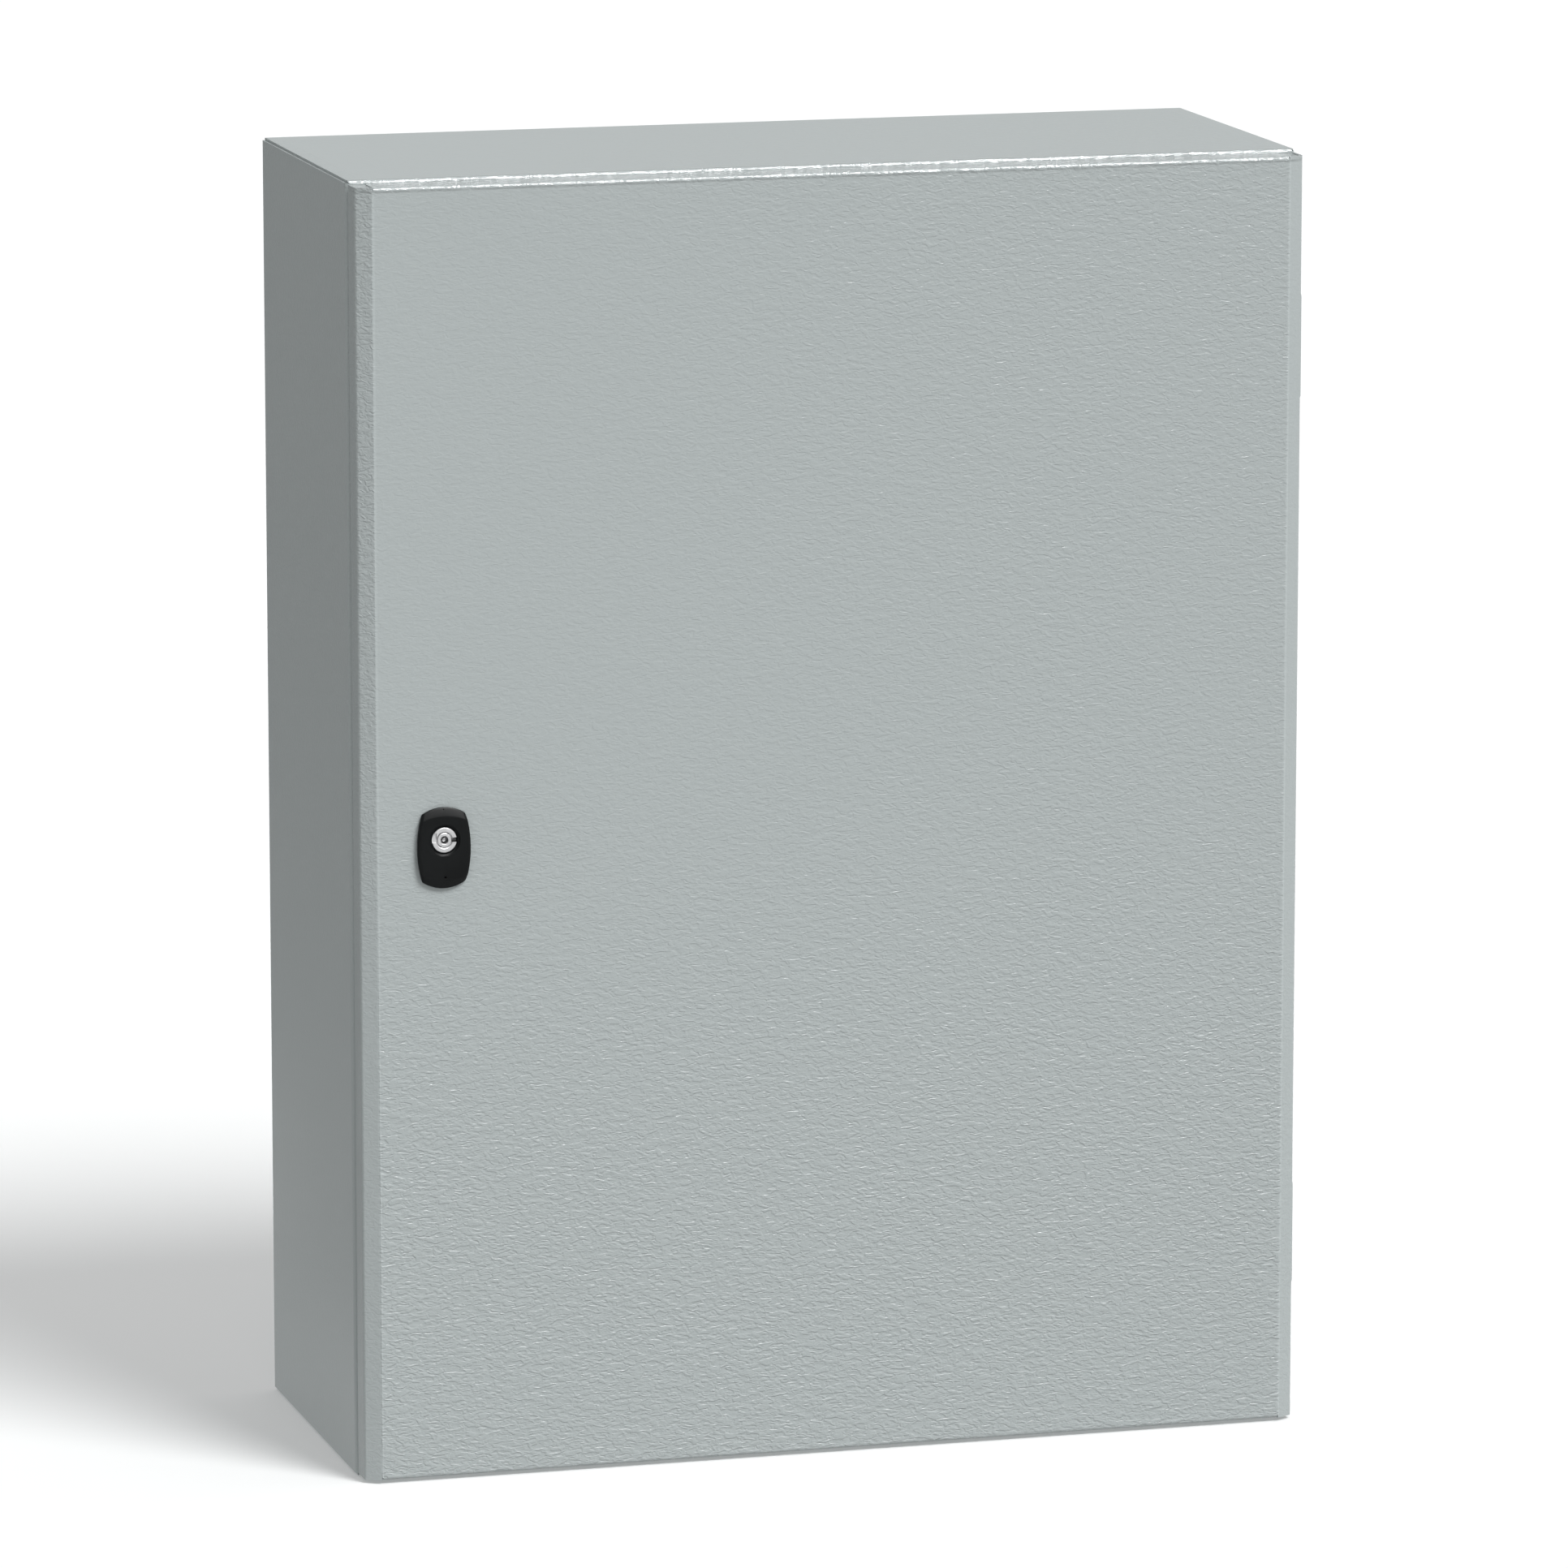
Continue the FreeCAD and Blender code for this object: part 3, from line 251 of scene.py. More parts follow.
def soft_black(name, base, scale, height, rough=0.62, pores=0.0, gloss=0.4):
    """Rubber, foam or moulded plastic: fine grain, faint blotches, and pores if it is foamed."""
    finish = Finish(name, Specular_IOR_Level=gloss)
    grain = finish.noise(finish.place(), scale, 3.0, 0.6)
    blotch = finish.noise(finish.place(), 45, 2.0)
    relief = grain
    if pores:
        relief = grain * 0.5 + finish.cells(finish.place(), scale * 0.8).steps(0.0, 0.5) * pores
    finish.set("Base Color", finish.mix(blotch.steps(0.3, 0.7), tint(base, 0.8), tint(base, 1.25)))
    finish.set("Roughness", rough + blotch * 0.16 - grain * 0.1)
    finish.set("Normal", finish.bump(relief, height))
    return finish.material


def zinc_sheet(name):
    """Hot-dip coated sheet: flat crystals that shine a little differently from each other."""
    finish = Finish(name, Metallic=1.0)
    place = finish.place((1.0, 0.4, 0.8))
    shade = finish.node("ShaderNodeSeparateXYZ", None, {0: finish.cells(place, 130, "Color")}, "X")
    streak = finish.noise(finish.place((1, 1, 0.02)), 900, 2.0)
    cloud = finish.noise(finish.place(), 9, 3.0)
    glow = shade * 0.6 + cloud * 0.4
    finish.set("Base Color", finish.mix(glow, (0.5, 0.51, 0.52), (0.6, 0.61, 0.62)))
    finish.set("Roughness", 0.38 + shade * 0.07 + streak * 0.08)
    finish.set("Normal", finish.bump(streak + cloud * 0.5, 0.000015))
    return finish.material


def plated(name, dark, light, rough, scale=700, height=0.00002, tilt=(1, 1, 1)):
    """Plated or cast metal: fine grain, clouded gloss and faint handling marks."""
    finish = Finish(name, Metallic=1.0)
    grain = finish.noise(finish.place(tilt), scale, 3.0, 0.6)
    cloud = finish.noise(finish.place(), 60, 3.0)
    scuff = finish.noise(finish.place((1, 1, 0.08), (0.5, 0.3, 0.2)), 400, 1.0).steps(0.62, 0.7)
    finish.set("Base Color", finish.mix(cloud.steps(0.25, 0.75), dark, light))
    finish.set("Roughness", rough + grain * 0.12 + cloud * 0.08 + scuff * 0.08)
    finish.set("Normal", finish.bump(grain + scuff * 0.3, height))
    return finish.material


MATERIALS = {}


def make_materials():
    shades = colours()
    nylon, black, foam = tuple(shades.nylon), tuple(shades.black), tuple(shades.foam)
    MATERIALS.update(
        door_paint=powder_coat("Door powder coat", 0.52),
        body_paint=powder_coat("Body powder coat", 0.3),
        black_rubber=soft_black("Black rubber", tint(nylon, 0.9), 1400, 0.00004, 0.6),
        foam_seal=soft_black("Foamed seal", foam, 1500, 0.00012, 0.78, pores=0.8),
        nylon_black=soft_black("Black nylon", nylon, 2200, 0.00003, 0.42),
        escutcheon_black=soft_black("Lock plate black", black, 2600, 0.000012, 0.4, gloss=0.12),
        galvanised_steel=zinc_sheet("Zinc-coated sheet"),
        zinc_fasteners=plated("Bright zinc fasteners", (0.52, 0.54, 0.57), (0.68, 0.68, 0.64), 0.2),
        cast_zinc=plated("Cast zinc", (0.36, 0.36, 0.37), (0.47, 0.47, 0.48), 0.34, 900, 0.00005),
        bright_pins=plated("Ground steel", (0.55, 0.55, 0.56), (0.66, 0.66, 0.66), 0.12,
                           1500, 0.00001, (1, 1, 0.05)),
        insert_silver=plated("Satin chrome insert", (0.44, 0.44, 0.445), (0.53, 0.53, 0.535), 0.42,
                             1100, 0.00002),
        zinc_plate=plated("Zinc-plated strip", (0.54, 0.55, 0.56), (0.67, 0.67, 0.65), 0.26,
                          800, 0.00002, (1, 1, 0.06)))


# ---- modelling ----

def rest():
    """Leave edit mode with nothing selected."""
    if bpy.context.object and bpy.context.object.mode == "EDIT":
        bpy.ops.object.mode_set(mode="OBJECT")
    bpy.ops.object.select_all(action="DESELECT")


def activate(piece):
    """Leave edit mode with only this piece selected and active."""
    rest()
    piece.select_set(True)
    bpy.context.view_layer.objects.active = piece


def open_up(piece):
    """Open a piece in edit mode with everything selected."""
    activate(piece)
    bpy.ops.object.mode_set(mode="EDIT")
    bpy.ops.mesh.select_all(action="SELECT")


def begin(name, kind, **settings):
    """Add a primitive and open it in edit mode with everything selected."""
    rest()
    getattr(bpy.ops.mesh, f"primitive_{kind}_add")(**settings)
    piece = bpy.context.object
    piece.name = piece.data.name = name
    bpy.ops.object.transform_apply(location=True, rotation=True, scale=True)
    bpy.context.tool_settings.mesh_select_mode = (True, False, False)
    bpy.ops.object.mode_set(mode="EDIT")
    bpy.ops.mesh.select_all(action="SELECT")
    return piece


def draw(name, points):
    """A chain of edges through the points, drawn by extruding one vertex."""
    piece = begin(name, "plane", size=0.01)
    bpy.ops.mesh.merge(type="CENTER")
    bpy.ops.transform.translate(value=points[0])
    for before, after in zip(points, points[1:]):
        pull(Vector(after) - Vector(before))
    bpy.ops.mesh.select_all(action="SELECT")
    return piece


def pull(vector):
    """Extrude the selection along a vector."""
    bpy.ops.mesh.extrude_region_move(TRANSFORM_OT_translate={"value": tuple(vector)})


def pick(kind, test):
    """Select only those faces or edges of the open piece whose middle passes the test."""
    bpy.context.tool_settings.mesh_select_mode = (False, kind == "edges", kind == "faces")
    bpy.ops.mesh.select_all(action="DESELECT")
    mesh = bpy.context.object.data
    open_mesh = bmesh.from_edit_mesh(mesh)
    for item in getattr(open_mesh, kind):
        middle = sum((corner.co for corner in item.verts), Vector()) / len(item.verts)
        if test(middle, item):
            item.select_set(True)
    open_mesh.select_flush_mode()
    bmesh.update_edit_mesh(mesh)


def along(item, axis):
    """Whether an edge runs along an axis."""
    run = item.verts[1].co - item.verts[0].co
    return abs(run[axis]) > 0.999 * run.length


def fold(axis, spot, radius, turn=math.pi / 2, segments=7):
    """Round the folds that run along an axis through a spot, given in the other two axes."""
    others = [index for index in range(3) if index != axis]

    def on_fold(middle, item):
        return along(item, axis) and all(abs(middle[index] - value) < SNAP
                                         for index, value in zip(others, spot))
    pick("edges", on_fold)
    bpy.ops.mesh.bevel(offset=radius * math.tan(turn / 2), segments=segments, affect="EDGES",
                       offset_type="OFFSET", clamp_overlap=False)


def modify(piece, kind, **settings):
    """Add a modifier and apply it."""
    activate(piece)
    modifier = piece.modifiers.new(kind.title(), kind)
    for key, value in settings.items():
        setattr(modifier, key, value)
    bpy.ops.object.modifier_apply(modifier=modifier.name)


def outward(piece):
    """Recalculate the normals of a closed piece so that they point out."""
    open_up(piece)
    bpy.ops.mesh.normals_make_consistent(inside=False)
    bpy.ops.object.mode_set(mode="OBJECT")


def thicken(piece, wall, inner):
    """Give an open skin its wall, on the side of the point inner."""
    activate(piece)
    face = max(piece.data.polygons, key=lambda item: item.area)
    towards = (Vector(inner) - face.center).dot(face.normal)
    modify(piece, "SOLIDIFY", thickness=wall, offset=1.0 if towards > 0 else -1.0,
           use_even_offset=True, use_quality_normals=True)
    outward(piece)


def soften(piece, width, segments=2, angle=50):
    """Round the sharp edges, and shade the flats flat and the bends smooth."""
    if width:
        modify(piece, "BEVEL", width=width, segments=segments, limit_method="ANGLE",
               angle_limit=math.radians(angle), harden_normals=False, use_clamp_overlap=True)
    activate(piece)
    bpy.ops.object.shade_smooth_by_angle(angle=math.radians(55))
    modify(piece, "WEIGHTED_NORMAL", keep_sharp=True, weight=80)


def hand_over(piece, body, slot, *nodes):
    """Give a finished piece its material and its place in the frame."""
    rest()
    piece.data.materials.clear()
    piece.data.materials.append(MATERIALS[slot])
    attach(piece, body)
    if nodes:
        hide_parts(*nodes)


def join(*pieces):
    """One piece from several; the first keeps its name."""
    rest()
    for piece in pieces:
        piece.select_set(True)
    bpy.context.view_layer.objects.active = pieces[0]
    bpy.ops.object.join()
    return pieces[0]


def cut_away(piece, tool, operation="DIFFERENCE"):
    """Cut a piece with a tool, which is used up."""
    modify(piece, "BOOLEAN", object=tool, operation=operation, solver="EXACT")
    bpy.data.objects.remove(tool)


def rod_tool(name, axis, spot, span, radius, vertices=48):
    """A plain closed cylinder along an axis, as a tool or the start of a turned piece."""
    turn = [(0, math.pi / 2, 0), (math.pi / 2, 0, 0), (0, 0, 0)][axis]
    place = list(spot)
    place.insert(axis, (span[0] + span[1]) / 2)
    piece = begin(name, "cylinder", vertices=vertices, radius=radius, depth=abs(span[1] - span[0]),
                  location=place, rotation=turn)
    rest()
    return piece


# ---- enclosure ----

def side_sheet(name, way):
    """Side wall, its front folded in, then forwards into the sealing rim."""
    size = sizes()
    wall = size.wall
    opening = OPEN_RIGHT if way > 0 else -OPEN_LEFT
    stub = SIDE - size.body_bend - 0.0001
    rim = opening + wall
    line = [(SIDE, BACK), (SIDE, FRONT), (stub, FRONT), (rim, FRONT), (rim, RIM_FRONT)]
    piece = draw(name, [(way * x, y, wall) for x, y in line])
    for low, high in ((wall, OPEN_LOW), (OPEN_LOW, OPEN_HIGH), (OPEN_HIGH, TOP - wall)):
        pull((0, 0, high - low))
    pick("faces", lambda at, face: not OPEN_LOW < at.z < OPEN_HIGH and abs(at.x) < stub)
    bpy.ops.mesh.delete(type="FACE")
    fold(2, (way * SIDE, FRONT), size.body_bend)
    fold(2, (way * rim, FRONT), size.rim_bend, segments=4)
    thicken(piece, wall, (0, 0, TOP / 2))
    soften(piece, size.paint_edge)
    return piece


def end_sheet(name, top):
    """Top or bottom sheet between the side walls, folded and rimmed like them at the front."""
    size = sizes()
    wall = size.wall
    outer, step = (TOP, -1) if top else (0.0, 1)
    rim = (OPEN_HIGH if top else OPEN_LOW) - step * wall
    end = SIDE - wall
    flange = SIDE - size.body_bend - 0.0002
    gland = [] if top else [(-end, MIDDLE + half, outer) for half in (GLAND_Y, -GLAND_Y)]
    piece = draw(name, [(-end, BACK, outer), *gland, (-end, FRONT, outer), (-end, FRONT, rim),
                        (-end, RIM_FRONT, rim)])
    stops = [-end, -flange, OPEN_LEFT - wall] + ([] if top else [-GLAND_X, GLAND_X])
    stops += [OPEN_RIGHT + wall, flange, end]
    for low, high in zip(stops, stops[1:]):
        pull((high - low, 0, 0))
    pick("faces", lambda at, face: (at.y < FRONT + SNAP and abs(at.x) > flange)
         or (at.y < FRONT - SNAP and not OPEN_LEFT - wall < at.x < OPEN_RIGHT + wall))
    bpy.ops.mesh.delete(type="FACE")
    if not top:
        pick("faces", lambda at, face: abs(at.x) < GLAND_X and abs(at.y - MIDDLE) < GLAND_Y
             and at.z < SNAP)
        bpy.ops.mesh.delete(type="FACE")
    fold(0, (FRONT, outer), size.body_bend - SNAP)
    fold(0, (FRONT, rim), size.rim_bend, segments=4)
    thicken(piece, wall, (0, 0, TOP / 2))
    # the wall's even offset pushes a few corners out of the cabinet's box
    for vertex in piece.data.vertices:
        vertex.co.x = min(max(vertex.co.x, -end), end)
        vertex.co.z = min(max(vertex.co.z, 0.0), TOP)
    soften(piece, size.paint_edge)
    return piece


def back_sheet():
    """Flat back with its four wall-fixing holes."""
    size = sizes()
    wall = size.wall
    piece = begin("back_sheet", "cube", size=1)
    bpy.ops.transform.resize(value=(2 * (SIDE - wall), wall, TOP - 2 * wall))
    bpy.ops.transform.translate(value=(0, BACK - wall / 2, TOP / 2))
    rest()
    for x in (-0.25, 0.25):
        for z in (0.04, 0.76):
            cut_away(piece, rod_tool("hole", 1, (x, z), (BACK - 0.01, BACK + 0.01), 0.00425))
    soften(piece, size.paint_edge)
    return piece


def make_enclosure():
    sheets = {"side_panel_left": side_sheet("left_wall", -1),
              "side_panel_right": side_sheet("right_wall", 1),
              "top_panel": end_sheet("top_sheet", True),
              "bottom_panel": end_sheet("bottom_sheet", False), "back_panel": back_sheet()}
    for node, piece in sheets.items():
        hand_over(piece, "enclosure", "body_paint", node)


# ---- door ----

def door_skin():
    """One sheet: the face, a shallow bevel and a return at each side, a return at each end."""
    size = sizes()
    wall, bend = size.wall, size.door_bend
    seam = FLAT_SIDE - 0.0006
    bevel = 0.0055
    rise = FACE + bevel
    half = [(seam, FACE), (FLAT_SIDE, FACE), (DOOR_SIDE, rise), (DOOR_SIDE, DOOR_BACK)]
    line = [(-x, y) for x, y in reversed(half)] + half
    piece = draw("door_skin", [(x, y, DOOR_LOW) for x, y in line])
    notch = 0.0325      # half the height of the gap that each hinge passes through
    stops = [DOOR_LOW, DOOR_LOW + bend]
    stops += [level + turn * notch for level in HINGE_LEVELS for turn in (-1, 1)]
    stops += [DOOR_HIGH - bend, DOOR_HIGH]
    for low, high in zip(stops, stops[1:]):
        pull((0, 0, high - low))
    pick("faces", lambda at, face: abs(at.x) < FLAT_SIDE and not stops[1] < at.z < stops[-2])
    bpy.ops.mesh.delete(type="FACE")
    pick("faces", lambda at, face: at.x > DOOR_SIDE - SNAP
         and any(abs(at.z - level) < notch for level in HINGE_LEVELS))
    bpy.ops.mesh.delete(type="FACE")
    for level, way in ((stops[1], -1), (stops[-2], 1)):
        pick("edges", lambda at, edge: along(edge, 0) and abs(at.z - level) < 1e-6
             and abs(at.x) < 0.1 and abs(at.y - FACE) < 1e-6)
        pull((0, 0, way * bend))
        pull((0, DOOR_BACK - FACE, 0))
    for level in (DOOR_LOW, DOOR_HIGH):
        fold(0, (FACE, level), bend - SNAP)
    ridge = math.atan2(bevel, DOOR_SIDE - FLAT_SIDE)
    for way in (-1, 1):
        fold(2, (way * FLAT_SIDE, FACE), size.ridge_bend, ridge, 5)
        fold(2, (way * DOOR_SIDE, rise), 0.0025, math.pi / 2 - ridge, 6)
    thicken(piece, wall, (0, 0, TOP / 2))
    cut_away(piece, rod_tool("hole", 1, LOCK, (FACE - 0.01, FACE + 0.01), LOCK_HOLE))
    soften(piece, size.paint_edge)
    return piece


def corner_tabs():
    """Small plates that close the ends of the bevelled sides, just under the top and bottom."""
    size = sizes()
    wall = size.wall
    pieces = []
    under = FACE + wall - 0.0004
    back = DOOR_BACK - 0.0002
    near, far = FLAT_SIDE - 0.0036, DOOR_SIDE - wall * 0.7
    line = [(near, under), (FLAT_SIDE - 0.0008, under), (far, FACE + 0.0062), (far, back),
            (near, back)]
    for way in (-1, 1):
        for level in (DOOR_HIGH - 0.0006 - wall, DOOR_LOW + 0.0006):
            tab = draw("corner_tab", [(way * x, y, level) for x, y in line])
            bpy.ops.mesh.edge_face_add()
            pull((0, 0, wall))
            outward(tab)
            soften(tab, size.paint_edge)
            pieces.append(tab)
    tabs = join(*pieces)
    tabs.name = tabs.data.name = "corner_tabs"
    return tabs


def make_door():
    hand_over(door_skin(), "door", "door_paint", "door_panel")
    hand_over(corner_tabs(), "door", "door_paint")


def turned(name, profile, steps=48):
    """A lathe piece about +Z at the origin, from (radius, height) points; closed at the axis."""
    piece = draw(name, [(radius, 0, height) for radius, height in profile])
    bpy.ops.mesh.spin(steps=steps, angle=2 * math.pi, center=(0, 0, 0), axis=(0, 0, 1))
    bpy.ops.mesh.select_all(action="SELECT")
    bpy.ops.mesh.remove_doubles(threshold=0.000001)
    outward(piece)
    return piece


def ring(name, inner, outer, low, high, chamfer, steps=48):
    """A turned ring with small chamfers."""
    profile = [(inner, low + chamfer), (inner + chamfer, low), (outer - chamfer, low),
               (outer, low + chamfer), (outer, high - chamfer), (outer - chamfer, high),
               (inner + chamfer, high), (inner, high - chamfer), (inner, low + chamfer)]
    return turned(name, profile, steps)


def lay(piece, axis, spot, start=0.0):
    """Turn a piece made along +Z to run along an axis, its zero at start, through the spot."""
    activate(piece)
    turn = [(0, math.pi / 2, 0), (-math.pi / 2, 0, 0), (0, 0, 0)][axis]
    place = list(spot)
    place.insert(axis, start)
    piece.rotation_euler, piece.location = turn, place
    bpy.ops.object.transform_apply(location=True, rotation=True, scale=True)
    return piece


def copies(name, piece, axis, spots, start):
    """Lay one copy of a piece at each spot and join them."""
    laid = []
    for spot in spots:
        twin = bpy.data.objects.new(name, piece.data.copy())
        bpy.context.collection.objects.link(twin)
        laid.append(lay(twin, axis, spot, start))
    bpy.data.objects.remove(piece)
    whole = join(*laid)
    whole.name = whole.data.name = name
    return whole


def hexagon_blank(corner, low, high):
    """A hexagonal prism about Z, from its corner radius and its two levels."""
    blank = begin("hexagon", "cylinder", vertices=6, radius=corner, depth=high - low,
                  location=(0, 0, (high + low) / 2), rotation=(0, 0, math.pi / 6))
    rest()
    return blank


def nut(corner, height, hole):
    """Hexagon nut with chamfered corners and a chamfered hole, its seat at zero."""
    lip, edge, past = corner * 0.88, 0.0003, corner + 0.0001
    slope = (corner - lip) * 0.58
    profile = [(hole, edge), (hole + edge, 0), (lip, 0), (past, slope), (past, height - slope),
               (lip, height), (hole + edge, height), (hole, height - edge), (hole, edge)]
    blank = hexagon_blank(corner, -0.001, height + 0.001)
    cut_away(blank, turned("tool", profile, 36), "INTERSECT")
    soften(blank, 0)
    return blank


def helix(radius, root, pitch, turns, steps):
    """A closed helical rib that climbs from zero, its foot just under the root radius."""
    foot = root - 0.00015
    piece = draw("rib", [(foot, 0, 0), (radius, 0, pitch * 0.45), (foot, 0, pitch * 0.9),
                         (foot, 0, 0)])
    bpy.ops.mesh.remove_doubles(threshold=0.00001)
    modify(piece, "SCREW", axis="Z", angle=2 * math.pi, screw_offset=pitch, iterations=turns,
           steps=steps, render_steps=steps)
    bpy.ops.object.mode_set(mode="EDIT")
    bpy.ops.mesh.select_all(action="SELECT")
    bpy.ops.mesh.fill_holes(sides=4)
    outward(piece)
    return piece


def thread(radius, length, pitch=0.001):
    """Threaded stud from zero up, its tip chamfered."""
    deep, tip = radius - pitch * 0.55, length - 0.0008
    profile = [(0, 0), (deep, 0), (deep, tip), (deep - 0.0007, length), (0, length)]
    core = turned("core", profile, 20)
    whole = join(helix(radius, deep, pitch, int(tip / pitch) - 1, 20), core)
    soften(whole, 0)
    return whole


def flip(piece):
    """Make a piece that climbs from zero hang from zero."""
    piece.data.transform(Matrix.Scale(-1, 4, (0, 0, 1)))
    outward(piece)


def m8_nut():
    return nut(M8_NUT, M8_NUT_HEIGHT, M8)


def m8_washer():
    return ring("washer", M8, M8_WASHER, 0, M8_WASHER_DEPTH, 0.0002)


def box_tool(name, x, y, z):
    """A block between two values on each axis."""
    tool = begin(name, "cube", size=1)
    bpy.ops.transform.resize(value=(x[1] - x[0], y[1] - y[0], z[1] - z[0]))
    bpy.ops.transform.translate(value=[(pair[0] + pair[1]) / 2 for pair in (x, y, z)])
    rest()
    return tool


def escutcheon():
    """Barrel-shaped plate: flat middle, sloping ends, a round recess and two small dimples."""
    rows = [0, 0.2, 0.4, 0.58, 0.7, 0.765, 0.785, 0.805, 0.87, 0.94, 1.0]
    columns = [0, 0.2, 0.4, 0.6, 0.76, 0.86, 0.89, 0.92, 0.96, 1.0]
    count = (2 * len(columns) - 2, 2 * len(rows) - 2)
    piece = begin("lock_plate", "grid", x_subdivisions=count[0], y_subdivisions=count[1], size=2)
    rest()
    middle, back = LOCK_Z - 0.005, FACE - LOCK_SEAL
    rise = LOCK_RISE - LOCK_SEAL
    corner_x, tip_x, corner_z, tip_z = 0.0136, 0.0165, 0.0207, 0.025
    slope_from, edge_from = 0.785, 0.89

    def bulge(value, corner, tip, other):
        """How far an arc reaches at a share of its half chord."""
        radius = (other ** 2 + (tip - corner) ** 2) / (2 * (tip - corner))
        return tip - radius + math.sqrt(radius ** 2 - (value * other) ** 2)

    def stop(value, stops):
        """An even grid value moved to its own stop."""
        return math.copysign(stops[round(abs(value) * (len(stops) - 1))], value)
    for vertex in piece.data.vertices:
        u, v = stop(vertex.co.x, columns), stop(vertex.co.y, rows)
        slope = 0.0021 * max(0.0, (abs(v) - slope_from) / (1 - slope_from)) ** 1.15
        edge = 0.0006 * max(0.0, (abs(u) - edge_from) / (1 - edge_from)) ** 1.3
        crown = 0.00018 * u * u + 0.00012 * v * v
        vertex.co = (LOCK_X + u * bulge(v, corner_x, tip_x, corner_z),
                     back - rise + slope + edge + crown,
                     middle + v * bulge(u, corner_z, tip_z, corner_x))
    open_up(piece)
    pull((0, rise, 0))
    bpy.ops.transform.resize(value=(1, 0, 1), center_override=(LOCK_X, back, middle))
    outward(piece)
    soften(piece, 0.0005, 3, 40)
    front = back - rise
    recess = turned("recess", [(0, -0.001), (0.0099, -0.001), (0.0097, 0.0004), (0.0092, 0.0014),
                               (0.0078, 0.0014), (0.0078, 0.006), (0, 0.006)])
    cut_away(piece, lay(recess, 1, LOCK, front))
    cut_away(piece, rod_tool("pinhole", 1, (LOCK_X + 0.0004, LOCK_Z - 0.023),
                             (front - 0.001, front + 0.003), 0.0008, 20))
    cut_away(piece, rod_tool("dot", 1, (LOCK_X - 0.0003, LOCK_Z + 0.0188),
                             (front - 0.001, front + 0.0026), 0.0004, 16))
    soften(piece, 0)
    return piece


def insert():
    """Turning insert: a boss with a pinned key hole inside a stepped ring, slotted at one side."""
    deep, tail, radius = 0.0301, 0.003, 0.00775
    profile = [(0, 0.006), (0.00235, 0.006), (0.00235, 0.0004), (0.0026, 0.0001), (0.0041, 0.0001),
               (0.0044, 0.0004), (0.0044, 0.0014), (0.005, 0.0014), (0.005, 0.0003),
               (0.0053, 0), (0.0073, 0), (0.0076, 0.0002), (radius, 0.0006), (radius, deep),
               (0, deep)]
    body = turned("lock_insert_face", profile, 72)
    cut_away(body, box_tool("slot", (0.0042, 0.0090), (-0.0015, 0.0015), (-0.001, 0.006)))
    step = ring("step", 0.005, 0.0095, -0.001, 0.0007, 0.0)
    wedge = box_tool("wedge", (-0.012, -0.0049), (-0.0045, 0.0014), (-0.002, 0.002))
    cut_away(step, wedge, "INTERSECT")
    cut_away(body, step)
    for turn in (math.radians(60), math.radians(240)):
        spot = (0.0046 * math.cos(turn), -0.0046 * math.sin(turn))
        cut_away(body, rod_tool("mark", 2, spot, (-0.001, 0.0022), 0.00055, 12))
    pin = turned("pin", [(0, 0.0014), (0.0009, 0.0014), (0.0013, 0.0018), (0.0013, 0.0061),
                         (0, 0.0061)], 32)
    square = box_tool("tail", (-0.004, 0.004), (-0.004, 0.004), (deep - 0.001, deep + tail))
    soften(square, 0.0003)
    soften(body, 0.0001, 2, 40)
    soften(pin, 0)
    return lay(join(body, pin, square), 1, LOCK, FACE - LOCK_RISE + 0.0006)


def make_lock():
    seat = FACE - LOCK_SEAL
    hand_over(escutcheon(), "door", "escutcheon_black", "lock_escutcheon")
    hand_over(insert(), "lock_barrel", "insert_silver", "lock_insert")
    seal = ring("lock_plate_seal", LOCK_THREAD, 0.0132, 0, LOCK_SEAL, 0.00015)
    soften(seal, 0)
    hand_over(lay(seal, 1, LOCK, seat), "door", "black_rubber", "lock_seal")
    bore, root = 0.0078, 0.0103
    case = join(ring("lock_barrel_case", bore, root, 0, FRONT + 0.00185 - seat, 0.0004),
                helix(LOCK_THREAD, root, 0.0012, 20, 48))
    soften(case, 0)
    hand_over(lay(case, 1, LOCK, seat), "door", "cast_zinc", "lock_housing")
    locknut = lay(nut(0.016, 0.005, LOCK_THREAD), 1, LOCK, INNER)
    locknut.name = locknut.data.name = "lock_locknut"
    hand_over(locknut, "door", "zinc_fasteners", "lock_nut")
    carry_over("lock_tongue", "lock_cam", 0.0004, "lock_barrel", "zinc_plate")
    cam_back = FRONT + 0.0052
    pins = turned("pin", [(0, 0), (0.0025, 0), (0.0025, 0.0036), (0.0021, 0.004), (0, 0.004)], 32)
    soften(pins, 0)
    offset = PIN_THROW * math.sqrt(0.5)
    spots = [(LOCK_X + way * offset, LOCK_Z + way * offset) for way in (1, -1)]
    place_copies("tongue_pins", pins, 1, spots, cam_back, "lock_barrel", "cam_pins", "bright_pins")
    head = turned("head", [(0, 0), (0.005, 0), (0.005, 0.0029), (0.0044, 0.0035), (0, 0.0035)], 48)
    cut_away(head, hexagon_blank(0.0023, 0.0012, 0.0045))
    soften(head, 0)
    head.name = head.data.name = "tongue_screw"
    hand_over(lay(head, 1, LOCK, cam_back), "lock_barrel", "zinc_fasteners", "cam_screw")


# ---- seals ----

